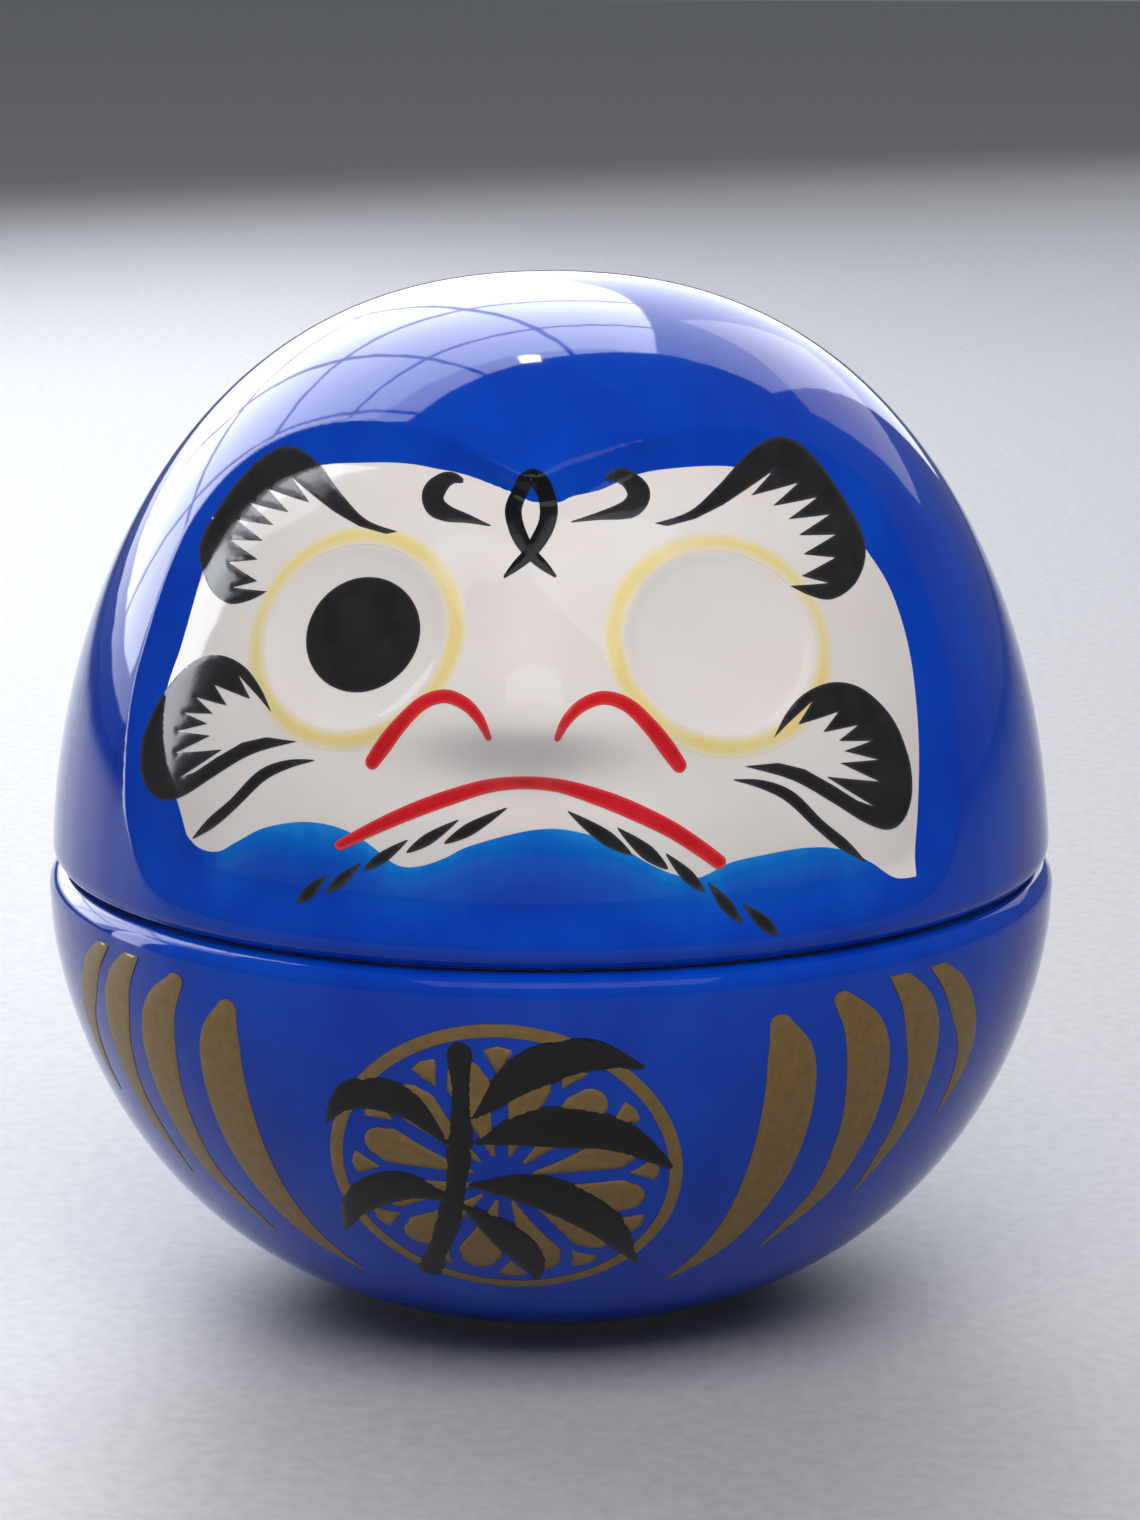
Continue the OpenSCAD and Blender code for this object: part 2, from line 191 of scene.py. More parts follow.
def inside(points, loop):
    """Which points lie within the closed loop (winding number)."""
    x, y = points[:, 0], points[:, 1]
    wind = np.zeros(len(points), int)
    for a, b in zip(loop, np.roll(loop, -1, axis=0)):
        cross = (b[0] - a[0]) * (y - a[1]) - (x - a[0]) * (b[1] - a[1])
        wind += ((a[1] <= y) & (b[1] > y) & (cross > 0)).astype(int)
        wind -= ((a[1] > y) & (b[1] <= y) & (cross < 0)).astype(int)
    return wind != 0


def nearest(points, starts, ends):
    """Shortest distance from each point to the straight pieces, in two or three dimensions."""
    best = np.full(len(points), 1e9)
    for start, end in zip(starts, ends):
        along = end - start
        t = np.clip(((points - start) @ along) / (along @ along + 1e-12), 0, 1)
        best = np.minimum(best, np.linalg.norm(points - start - t[:, None] * along, axis=1))
    return best


def distance(points, line, closed=True):
    """Shortest distance from each point to the line."""
    if closed:
        return nearest(points, line, np.roll(line, -1, axis=0))
    return nearest(points, line[:-1], line[1:])


def ease(x):
    x = np.clip(x, 0, 1)
    return x * x * (3 - 2 * x)


# ---- the face, seen from the front: x, z ----
FACE_RIGHT = [(0.3, 93), (2.9, 93), (4.1, 93.5), (7, 94.1), (10.7, 95.4), (15.5, 95.8), (20.3, 95.5),
              (25.5, 94), (30.4, 90.9), (34.2, 86.1), (36.4, 82.6), (37.9, 78.6), (38.9, 74), (39.5, 67.2),
              (39.4, 60), (38.9, 54.3)]
BEARD_EDGE = [(38.9, 54.3), (36.9, 54.6), (34.7, 56.5), (31.5, 58.4), (28, 59.1), (23.8, 58.9), (20.3, 58.4),
              (17.4, 57.2), (15.1, 57.6), (12.3, 58.9), (9, 61), (5.6, 62.1), (2.6, 62.5), (-0.9, 62),
              (-5.5, 60.6), (-8, 59.3), (-10.6, 58.4), (-12.8, 58.5), (-15.7, 60.4), (-18.6, 61.6),
              (-22.3, 61.8), (-26.4, 60.7), (-29.4, 58.9), (-31.6, 57.5), (-33.8, 57.4), (-35.3, 58.4)]
FACE_LEFT = [(-35.3, 58.4), (-36.3, 61.3), (-37.9, 64.6), (-38.5, 68.5), (-38, 72.5), (-36.8, 76),
             (-35.9, 79.2), (-34.9, 82.8), (-33, 88), (-28.3, 93), (-22.2, 95.2), (-17, 95.9),
             (-13.1, 96.1), (-9.9, 95.8), (-6.5, 95.3), (-2.4, 94), (-0.4, 93.2)]
face_loop = resample(np.vstack([smooth(FACE_RIGHT)[:-1], smooth(BEARD_EDGE)[:-1], smooth(FACE_LEFT)]), 0.4)
# the floor of the recess, and the ridge of the hood round it; the step lies between the two
FLOOR_LOW = [(39.4, 60), (38, 56.6), (30, 55.6), (15, 55.2), (0, 55), (-15, 55.2), (-30, 55.6), (-35.6, 57),
             (-37.2, 60.4), (-37.9, 64.6)]
FLOOR_LEFT = FACE_LEFT[2:7] + [(-34.8, 82.5), (-31.8, 88), (-27.4, 92.4)] + FACE_LEFT[10:]
RIDGE = [(0.3, 94.4), (3.8, 95.9), (9.6, 97.4), (15.4, 98.2), (20.6, 98), (27, 96), (32, 92.9), (35.2, 88.6),
         (37.6, 84.2), (39.8, 79), (41.6, 72), (42.6, 64), (42.4, 57), (40.5, 52.5), (34, 50.8), (15, 50.1),
         (0, 50), (-15, 50.1), (-34, 50.8), (-39, 52.5), (-41, 57.5), (-41.4, 64), (-40.8, 71), (-38.9, 78.5),
         (-37, 84.2), (-34.8, 88.4), (-31.4, 92.6), (-27, 95.9), (-22, 97.9), (-16.5, 98.7), (-10.3, 98.3),
         (-6.2, 97), (-2.6, 95.3)]
floor_parts = [smooth(FACE_RIGHT[:-1])[:-1], smooth(FLOOR_LOW)[:-1], smooth(FLOOR_LEFT)]
floor_loop = resample(np.vstack(floor_parts), 1.0)
ridge_loop = resample(smooth(RIDGE, closed=True), 1.0)

BROW = tuft([(13.4, 89.9), (16.8, 90.8), (19.6, 92.9), (22.6, 95.5), (25.4, 96), (28.6, 94.2), (32, 90.6),
             (34.7, 86), (34, 82.9), (31.6, 81.5), (29.2, 82), (27, 83.2)], [],
            [(31, 83), (34, 90), (25.2, 93.8)], [(28.2, 84), (29.2, 89.2), (23, 91.8)],
            [(20.2, 91.2), (17.4, 90.1), (14.6, 89.6)])
CHEEK = tuft([(25.9, 71.9), (27.2, 74.1), (29.2, 75.9), (32, 76.5), (35, 75.4), (38, 72.2), (39.8, 68),
              (40.2, 64.4), (39.4, 62), (37.8, 61.3), (35.4, 62.4), (32, 64.9), (27.8, 67.7), (23.1, 69.5)],
             [(26.4, 69.5), (29, 68.6), (32, 66.6), (34.4, 64.8)],
             [(36.2, 63.9), (38.8, 71.2), (29.8, 75)], [(31.2, 67.6), (36, 70.4), (28.3, 72.9)],
             [(27.4, 73.2)])
CURLS = {-1: round_ends([(-7.1, 94.8, 0.5), (-7.9, 95, 1), (-8.9, 94.7, 1.6), (-9.9, 93.6, 2.3),
                         (-9.7, 92.5, 2.1), (-8.4, 91.8, 1.5), (-6.3, 91.4, 0.8), (-3.9, 90.8, 0.1)]),
         1: round_ends([(7.6, 95, 0.5), (8.8, 95.2, 1.1), (10, 94.7, 1.7), (10.8, 93.6, 2.3),
                        (10.3, 92.6, 2.1), (9.1, 92.1, 1.5), (6.8, 91.7, 0.7), (4.1, 91.2, 0.1)])}
KNOT = [round_ends([(-2.35, 86.05, 0.25), (-1.3, 87, 0.9), (0, 88.2, 1.3), (1, 89.6, 1.6), (1.7, 91, 1.7),
                    (1.85, 92.5, 1.8), (1.3, 93.9, 1.6), (0.2, 94.7, 1.3)]),
        round_ends([(2.75, 86.15, 0.25), (1.6, 87.1, 0.9), (0.3, 88.2, 1.2), (-0.8, 89.6, 1.5),
                    (-1.45, 91, 1.6), (-1.7, 92.4, 1.7), (-1.1, 93.8, 1.5), (0, 94.7, 1.2)])]
STREAK = stroke([(21.2, 67.9, 0.1), (24, 67.2, 0.8), (26.8, 65.7, 1.1), (29.8, 62.6, 1), (32.4, 60.2, 1),
                 (34.6, 58.2, 0.1)])
NOSE_LINE = round_ends([(3.2, 70.9, 0.6), (4.1, 72.6, 1), (5.6, 74, 1.2), (7.7, 74.7, 1.3), (10, 74, 1.4),
                        (12.2, 72, 1.5), (14, 69.9, 1.6), (15.3, 68.2, 1.4)])
MOUTH = round_ends([(-18.5, 59.9, 1), (-14.8, 62, 1.3), (-10.9, 63.9, 1.5), (-7.4, 65.3, 1.5),
                    (-3.6, 66.5, 1.3), (0, 66.9, 1.2), (3.6, 66.6, 1.3), (7.3, 65.5, 1.6),
                    (10.5, 64.2, 1.7), (14.2, 62.3, 1.6), (17, 60.4, 1.5), (19.3, 58.6, 1.4)])
WHISKERS = {-1: [((-1.6, 64.5), (-7.9, 60.8), 1.2), ((-6.4, 63.2), (-11.7, 59.7), 1.1),
                 ((-11.5, 61), (-16.1, 57.6), 1.1), ((-16.3, 58.4), (-19.9, 55), 1.1),
                 ((-19.9, 56.8), (-22.9, 53.6), 1.2)],
            1: [((4.3, 64.2), (10.7, 59.8), 1.4), ((9.2, 62.5), (14.3, 58.2), 1.4),
                ((14, 59.8), (17.9, 55.7), 1.2), ((18.2, 56.7), (21.4, 52.4), 1.2),
                ((21.6, 54.3), (24.7, 50.9), 1.3)]}


def whisker(a, b, width):
    """A short spindle, fullest a little past its middle."""
    a, b = np.array(a), np.array(b)
    at = [a + (b - a) * k for k in (0, 0.3, 0.6, 0.85, 1)]
    return stroke([(*p, w) for p, w in zip(at, (0.1, 0.7 * width, width, 0.6 * width, 0.1))])


# ---- relief of the lid: hood step, nose, eye dishes ----
def eye_axes(turn, t):
    """Centre of an eye on the face, and its directions across, up and out."""
    nr, nz = curve_normal(LID_FORM, t)
    centre = place(LID_FORM, turn, t, -FACE_STEP)
    out = np.array([float(nr) * math.sin(turn), -float(nr) * math.cos(turn), float(nz)])
    across = np.cross([0, 0, 1.0], out)
    across /= np.linalg.norm(across)
    return centre, across, np.cross(out, across), out


def eye_reach(points, eye):
    """Distance from the eye's middle, as a share of the way to the ring's middle line."""
    turn, t, wide, high = eye
    centre, across, up, _ = eye_axes(turn, t)
    off = points - centre
    return np.hypot(off @ across / wide, off @ up / high)


def swell(x, z, cx, cz, wide, up, down):
    return np.exp(-((x - cx) / wide) ** 2 - ((z - cz) / np.where(z > cz, up, down)) ** 2)


def profile_table(form, first, last, out):
    """Heights, radii and places along a profile, by rising height."""
    t = np.linspace(first, last, 1600)
    r, z = grown(form, t, out)
    order = np.argsort(z)
    return z[order], r[order], t[order]


LID_Z, LID_R, LID_T = profile_table(LID_FORM, 2, 80, DRAWN_AT)
BOWL_Z, BOWL_R, BOWL_T = profile_table(BOWL_FORM, 0.5, 88, 0)


def front_turn_and_t(x, z):
    """Angle round the axis and place on the lid's profile of a point drawn on the front view."""
    return np.arcsin(np.clip(x / np.interp(z, LID_Z, LID_R), -1, 1)), np.interp(z, LID_Z, LID_T)


def on_lid_base(loop):
    turn, t = front_turn_and_t(loop[:, 0], loop[:, 1])
    return place(LID_FORM, turn, t, DRAWN_AT)


floor_line, ridge_line = on_lid_base(floor_loop), on_lid_base(ridge_loop)


def relief(turn, t):
    """How far the glazed surface lies above (+) or below (-) the plain turned lid."""
    turn, t = np.broadcast_arrays(np.asarray(turn, float), np.asarray(t, float))
    shape = turn.shape
    turn, t = turn.ravel(), t.ravel()
    rise = np.zeros(len(turn))
    front = (np.cos(turn) > 0.3) & (t < 66)
    base = place(LID_FORM, turn[front], t[front], DRAWN_AT)
    x, z = base[:, 0], base[:, 2]
    flat = base[:, [0, 2]]
    from_floor, from_ridge = distance(base, floor_line), distance(base, ridge_line)
    share = from_floor / (from_floor + from_ridge + 1e-9)
    share = np.where(inside(flat, floor_loop), 0, np.where(inside(flat, ridge_loop), share, 1))
    low = ease((60 - z) / 5)  # crisp under the hood, dying away in the beard
    d = -FACE_STEP * (1 - (1 - low) * share ** 1.35 - low * ease(share)) * ease((z - 50.3) / 1.6)
    # nose: broad below, narrow above, with a quick drop toward the mouth
    broad = 4 + 6.6 * (1 - ease((z - 69) / 17))
    d += NOSE_OUT * swell(x, z, 0, NOSE_Z, broad, 9.6, 3.7)
    d += 0.5 * swell(x, z, 0, 62, 15, 3, 5)  # swell under the mouth
    d += 0.3 * (swell(x, z, -28, 66, 8, 8, 8) + swell(x, z, 28, 66, 8, 8, 8))  # cheeks
    for eye in EYES.values():
        reach = eye_reach(base, eye)
        dish = EYE_DISH * (1 - (reach / 0.93) ** 2)
        d -= np.where(dish > 0, dish, 0) * ease((0.96 - reach) / 0.16)
        d += 0.07 * np.exp(-((reach - 0.96) / 0.1) ** 2)  # faint raised lip round the dish
    rise[front] = d
    return rise.reshape(shape)


# ---- mesh tools ----
def as_mesh(name, points, faces, attributes=None, shade=True):
    """An object at the origin from points in millimetres."""
    mesh = bpy.data.meshes.new(name)
    mesh.from_pydata((np.asarray(points) * MM).tolist(), [], faces)
    for key, values in (attributes or {}).items():
        layer = mesh.attributes.new(key, "FLOAT", "POINT")
        layer.data.foreach_set("value", np.asarray(values, np.float32))
    mesh.validate()
    mesh.polygons.foreach_set("use_smooth", [shade] * len(mesh.polygons))
    mesh.update()
    obj = bpy.data.objects.new(name, mesh)
    bpy.context.scene.collection.objects.link(obj)
    return obj


def finish_piece(obj, material, body, nodes):
    if material is not None:
        obj.data.materials.clear()
        obj.data.materials.append(material)
    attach(obj, body)
    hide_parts(*nodes)
    return obj


def triangulated(points, edges, merge):
    """Points and triangles of a flat net that keeps the given edges."""
    net = delaunay_2d_cdt([Vector(point) for point in points.tolist()], edges, [], 0, merge)
    return np.array([(p.x, p.y) for p in net[0]]), np.array([face for face in net[2] if len(face) == 3])


def filled(loops, cut=(), spacing=0.5):
    """Fills the loops, less the cut loops. Gives the points and the triangles."""
    lines = list(loops) + list(cut)
    points, edges = np.vstack(lines), []
    for line in lines:
        n0 = len(edges)
        edges += [(n0 + i, n0 + (i + 1) % len(line)) for i in range(len(line))]
    lo, hi = points.min(0), points.max(0)
    grid = []
    for k, z in enumerate(np.arange(lo[1], hi[1] + spacing, spacing * 0.866)):
        xs = np.arange(lo[0] + (k % 2) * spacing / 2, hi[0] + spacing, spacing)
        grid.append(np.stack([xs, np.full(len(xs), z)], -1))
    grid = np.vstack(grid)
    wanted = np.any([inside(grid, loop) for loop in loops], axis=0)
    near = np.min([distance(grid, line) for line in lines], axis=0)
    grid = grid[wanted & (near > spacing * 0.45)]
    flat, tris = triangulated(np.vstack([points, grid]), edges, 1e-5)
    middle = flat[tris].mean(1)
    keep = np.any([inside(middle, loop) for loop in loops], axis=0)
    for loop in cut:
        keep &= ~inside(middle, loop)
    used, tris = np.unique(tris[keep], return_inverse=True)
    flat, tris = flat[used], tris.reshape(-1, 3)
    turn = np.cross(flat[tris[:, 1]] - flat[tris[:, 0]], flat[tris[:, 2]] - flat[tris[:, 0]])
    tris[turn < 0] = tris[turn < 0][:, ::-1]
    return flat, tris


def rim_edges(tris):
    """Directed edges that belong to one triangle only."""
    pairs = np.vstack([tris[:, [0, 1]], tris[:, [1, 2]], tris[:, [2, 0]]])
    have = {(a, b) for a, b in pairs.tolist()}
    return [(a, b) for a, b in pairs.tolist() if (b, a) not in have]


def edge_reach(flat, edges):
    """Distance of each point from the nearest rim edge."""
    starts, ends = np.array(edges).T
    return nearest(flat, flat[starts], flat[ends])


def crease(obj, pairs):
    """Keeps the shading on the two sides of these edges apart, so a thin layer's rim stays clean."""
    wanted = {tuple(sorted(pair)) for pair in pairs}
    mesh = obj.data
    flags = [tuple(sorted(edge.vertices)) in wanted for edge in mesh.edges]
    mesh.attributes.new("sharp_edge", "BOOLEAN", "EDGE").data.foreach_set("value", flags)
    return obj


def painted(name, loops, wrap, thick=0.09, soft=0.45, sunk=0.1, cut=(), spacing=0.5):
    """A thin closed layer of paint on a curved surface, thinning out toward its edge."""
    loops = [resample(loop, 0.32) for loop in loops]
    flat, tris = filled(loops, cut, spacing)
    edges = rim_edges(tris)
    reach = edge_reach(flat, edges)
    edge_lift = min(0.045, thick * 0.7)
    lift = edge_lift + (thick - edge_lift) * ease(reach / soft)
    top, under = wrap(flat, lift), wrap(flat, np.full(len(flat), -sunk))
    n = len(flat)
    faces = tris.tolist() + (tris[:, ::-1] + n).tolist()
    for a, b in edges:
        faces.append([b, a, a + n, b + n])
    layer = as_mesh(name, np.vstack([top, under]), faces, {"edge_mm": np.concatenate([reach, reach])})
    return crease(layer, edges)


def coat_height(reach):
    """The coat thins toward its edge."""
    return COAT_THIN + (COAT_STEP - COAT_THIN) * ease(reach / 0.9)


def coat_over(flat):
    """How far the blue coat stands over the white at points drawn on the front view."""
    reach = distance(flat, face_loop)
    return np.where(inside(flat, face_loop), 0, coat_height(reach))


def wrap_lid(flat, lift):
    turn, t = front_turn_and_t(flat[:, 0], flat[:, 1])
    return place(LID_FORM, turn, t, relief(turn, t) - WHITE_SUNK + coat_over(flat) + lift)


def wrap_bowl_front(flat, lift):
    at, r = np.interp(flat[:, 1], BOWL_Z, BOWL_T), np.interp(flat[:, 1], BOWL_Z, BOWL_R)
    return place(BOWL_FORM, np.arcsin(np.clip(flat[:, 0] / r, -1, 1)) + BOWL_TURN, at, lift)


def wrap_medallion(flat, lift):
    """From the medallion's own plane, straight in onto the bowl."""
    up = np.array([0, -math.sin(MEDALLION_TILT), math.cos(MEDALLION_TILT)])
    out = np.array([0, -math.cos(MEDALLION_TILT), -math.sin(MEDALLION_TILT)])
    base = MEDALLION_CENTRE + flat[:, :1] * np.array([1.0, 0, 0]) + flat[:, 1:] * up
    low, high = np.full(len(flat), -14.0), np.full(len(flat), 14.0)
    for _ in range(40):  # halving the stretch that holds the surface
        mid = (low + high) / 2
        p = base + mid[:, None] * out
        within = np.hypot(p[:, 0], p[:, 1]) < np.interp(p[:, 2], BOWL_Z, BOWL_R)
        low, high = np.where(within, mid, low), np.where(within, high, mid)
    p = base + low[:, None] * out
    turn, at = np.arctan2(p[:, 0], -p[:, 1]), np.interp(p[:, 2], BOWL_Z, BOWL_T)
    return place(BOWL_FORM, turn + BOWL_TURN, at, lift)


# ---- materials ----
def linear(hex_colour):
    """sRGB hex to a linear colour."""
    c = [int(hex_colour[i:i + 2], 16) / 255 for i in (1, 3, 5)]
    return [v / 12.92 if v <= 0.04045 else ((v + 0.055) / 1.055) ** 2.4 for v in c] + [1.0]


def add(tree, kind, inputs=None, **settings):
    """One node, with its settings, values and links."""
    node = tree.nodes.new(kind)
    for key, value in settings.items():
        setattr(node, key, value)
    for key, value in (inputs or {}).items():
        socket = node.inputs[key]
        if isinstance(value, bpy.types.NodeSocket):
            tree.links.new(value, socket)
        else:
            socket.default_value = value
    return node


def ramp(tree, value, stops):
    """A colour ramp from (place, hex) stops."""
    node = add(tree, "ShaderNodeValToRGB", {"Fac": value})
    while len(node.color_ramp.elements) < len(stops):
        node.color_ramp.elements.new(0.5)
    for element, (place_at, colour) in zip(node.color_ramp.elements, stops):
        element.position, element.color = place_at, linear(colour)
    return node.outputs["Color"]


def finish_of(name, **values):
    """A new material with its surface shader; values go straight onto the shader's sockets."""
    material = bpy.data.materials.new(name)
    material.use_nodes = True
    tree = material.node_tree
    tree.nodes.clear()
    shader = add(tree, "ShaderNodeBsdfPrincipled", {key.replace("_", " "): v for key, v in values.items()})
    add(tree, "ShaderNodeOutputMaterial", {"Surface": shader.outputs["BSDF"]})
    return material, tree, shader


def node_of(tree, kind, inputs=None, **settings):
    """The first output of a new node."""
    return add(tree, kind, inputs, **settings).outputs[0]


def maths(tree, kind, a, b=0.0, c=0.0, clamp=False):
    return node_of(tree, "ShaderNodeMath", {0: a, 1: b, 2: c}, operation=kind, use_clamp=clamp)


def noise(tree, size_mm, detail=3.0, stretch=(1, 1, 1)):
    """Noise whose grains are about size_mm across."""
    place_in = add(tree, "ShaderNodeTexCoord").outputs["Object"]
    scale = tuple(s / (size_mm * MM) for s in stretch)
    mapped = node_of(tree, "ShaderNodeMapping", {"Vector": place_in, "Scale": scale})
    return node_of(tree, "ShaderNodeTexNoise", {"Vector": mapped, "Scale": 1.0, "Detail": detail})


def ripple(tree, shader, height, depth_mm):
    """Unevenness of the surface, too fine for the mesh."""
    bump = node_of(tree, "ShaderNodeBump", {"Height": height, "Strength": 1.0, "Distance": depth_mm * MM})
    tree.links.new(bump, shader.inputs["Normal"])


def mixed(tree, share, a, b):
    return add(tree, "ShaderNodeMix", {0: share, 6: a, 7: b}, data_type="RGBA").outputs[2]


def measured(tree, attribute):
    return add(tree, "ShaderNodeAttribute", attribute_name=attribute).outputs["Fac"]


def paint(tree, shader, colour):
    tree.links.new(colour, shader.inputs["Base Color"])


def grained(name, stops, grain, bump=None, **values):
    """A material whose colour runs from shade to shade; grain and bump start with size and detail."""
    material, tree, shader = finish_of(name, **values)
    paint(tree, shader, ramp(tree, noise(tree, *grain), stops))
    if bump:
        ripple(tree, shader, noise(tree, *bump[:2]), bump[2])
    return material


def white_glaze():
    """Clear glaze over white stoneware: warm white, wet gloss, faint pooling."""
    return grained("clear_glaze_on_white_stoneware", [(0.3, "#E4DEDA"), (0.7, "#ECE8E5")], (14, 3),
                   (5, 2, 0.03), Roughness=0.06, IOR=1.5)


def blue_glaze():
    """Cobalt glaze brushed on: deep blue, thin and bright where the brush left the beard's edge."""
    material, tree, shader = finish_of("brushed_cobalt_glaze", Roughness=0.05, IOR=1.42,
                                       Specular_IOR_Level=0.4)
    hairs = noise(tree, 1.6, 2, (1, 1, 0.3))  # bristle marks run down the beard
    uneven = maths(tree, "MULTIPLY_ADD", noise(tree, 8, 2), 4.0, maths(tree, "MULTIPLY", hairs, 2.0))
    moved = maths(tree, "ADD", measured(tree, "wash_mm"), uneven)
    share = maths(tree, "DIVIDE", moved, 13.0, clamp=True)
    beard = ramp(tree, share, [(0.16, "#1E8CDC"), (0.28, "#0670D2"), (0.46, "#0354C8"), (0.8, "#003CB6")])
    body = ramp(tree, noise(tree, 9, 4, (1, 1, 0.5)), [(0.25, "#0034AC"), (0.75, "#0048C2")])
    deep = node_of(tree, "ShaderNodeMapRange", {"Value": share, "From Min": 0.6, "From Max": 0.95})
    paint(tree, shader, mixed(tree, deep, beard, body))
    ripple(tree, shader, noise(tree, 6, 2), 0.025)
    return material


def gold_enamel():
    """Bronze-gold enamel, satin, with the metal powder's fine grain."""
    return grained("satin_gold_powder_enamel", [(0.3, "#826A40"), (0.7, "#927848")], (0.9, 4), (0.5, 2, 0.02),
                   Metallic=0.45, Roughness=0.42)


def black_enamel(name, edge_hex, dark_hex, light_hex):
    """Black brush enamel, glossy, a little greyer where the brush ran thin."""
    material, tree, shader = finish_of(name, Roughness=0.12, IOR=1.45)
    share = maths(tree, "DIVIDE", measured(tree, "edge_mm"), 0.3, clamp=True)
    middle = ramp(tree, noise(tree, 3, 4), [(0.3, dark_hex), (0.8, light_hex)])
    paint(tree, shader, mixed(tree, share, linear(edge_hex), middle))
    ripple(tree, shader, noise(tree, 2.5, 2), 0.01)
    return material


def red_enamel():
    """Red brush enamel: strong in the middle of the stroke, thinner at its edges."""
    material, tree, shader = finish_of("red_brush_enamel", Roughness=0.12, IOR=1.5)
    share = maths(tree, "DIVIDE", measured(tree, "edge_mm"), 0.35, clamp=True)
    middle = ramp(tree, noise(tree, 2, 3), [(0.3, "#C4101C"), (0.8, "#DC1E2A")])
    paint(tree, shader, mixed(tree, share, linear("#E04A48"), middle))
    return material


def yellow_stain():
    """Pale yellow stain blown on under the glaze: soft on both sides of the ring."""
    material, tree, shader = finish_of("sprayed_yellow_stain", Roughness=0.06, IOR=1.5)
    uneven = maths(tree, "MULTIPLY", noise(tree, 5, 2), 1.8)
    share = maths(tree, "MULTIPLY", measured(tree, "edge_mm"), uneven, clamp=True)
    paint(tree, shader, ramp(tree, share, [(0.0, "#E8E2D8"), (0.3, "#ECE0B4"), (0.75, "#ECD992")]))
    return material


def bare_stoneware():
    """Unglazed fired clay on the foot and the two rims: matt, sandy."""
    return grained("bare_fired_stoneware", [(0.3, "#C9B99C"), (0.7, "#DDD0B8")], (0.8, 4), (0.5, 3, 0.05),
                   Roughness=0.8)


WHITE, BLUE, GOLD, RED = white_glaze(), blue_glaze(), gold_enamel(), red_enamel()
YELLOW, BARE = yellow_stain(), bare_stoneware()
BLACK = black_enamel("thin_black_brush_enamel", "#38383C", "#1A1A1C", "#29292C")
LACQUER = black_enamel("thick_black_brush_enamel", "#151517", "#060607", "#0D0D0F")


# ---- turned shells ----
def round_over(centre, radius, start, end, steps=7):
    a = np.radians(np.linspace(start, end, steps))
    return [(centre[0] + radius * math.cos(v), centre[1] + radius * math.sin(v)) for v in a]


def carried_round(profile, columns):
    """Every profile point at every angle, profile point by profile point."""
    r, z = np.array(profile, float).T
    return np.stack([np.outer(r, np.sin(columns)), -np.outer(r, np.cos(columns)),
                     np.outer(z, np.ones(len(columns)))], -1).reshape(-1, 3)


def wheel_faces(rows, columns):
    """Four-sided faces between points laid out row by row, closed both ways."""
    faces = []
    for i in range(rows):
        j = (i + 1) % rows
        for k in range(columns):
            q = (k + 1) % columns
            faces.append([i * columns + k, i * columns + q, j * columns + q, j * columns + k])
    return faces


def weld_and_orient(obj, distance_mm=0.002):
    """Closes seams and poles and turns every face outward."""
    bm = bmesh.new()
    bm.from_mesh(obj.data)
    bmesh.ops.remove_doubles(bm, verts=bm.verts, dist=distance_mm * MM)
    bmesh.ops.dissolve_degenerate(bm, edges=bm.edges, dist=1e-7)
    bmesh.ops.delete(bm, geom=[edge for edge in bm.edges if not edge.link_faces], context="EDGES")
    bmesh.ops.recalc_face_normals(bm, faces=bm.faces)
    bm.to_mesh(obj.data)
    bm.free()
    obj.data.polygons.foreach_set("use_smooth", [True] * len(obj.data.polygons))
    obj.data.update()
    return obj


def new_tree(name, inputs, output):
    """A geometry tree with named inputs (label, kind, value); gives it with its two end nodes."""
    tree = bpy.data.node_groups.new(name, "GeometryNodeTree")
    for label, kind, value in inputs:
        socket = tree.interface.new_socket(label, in_out="INPUT", socket_type="NodeSocket" + kind)
        if value is not None:
            socket.default_value = value
    tree.interface.new_socket(output, in_out="OUTPUT", socket_type="NodeSocketGeometry")
    return tree, add(tree, "NodeGroupInput").outputs, add(tree, "NodeGroupOutput").inputs[0]


def finish_tree(tree, geometry, surface, made):
    """Every tree ends in real geometry with its material on."""
    real = node_of(tree, "GeometryNodeRealizeInstances", {"Geometry": geometry})
    tree.links.new(node_of(tree, "GeometryNodeSetMaterial", {"Geometry": real, "Material": surface}), made)
    return tree


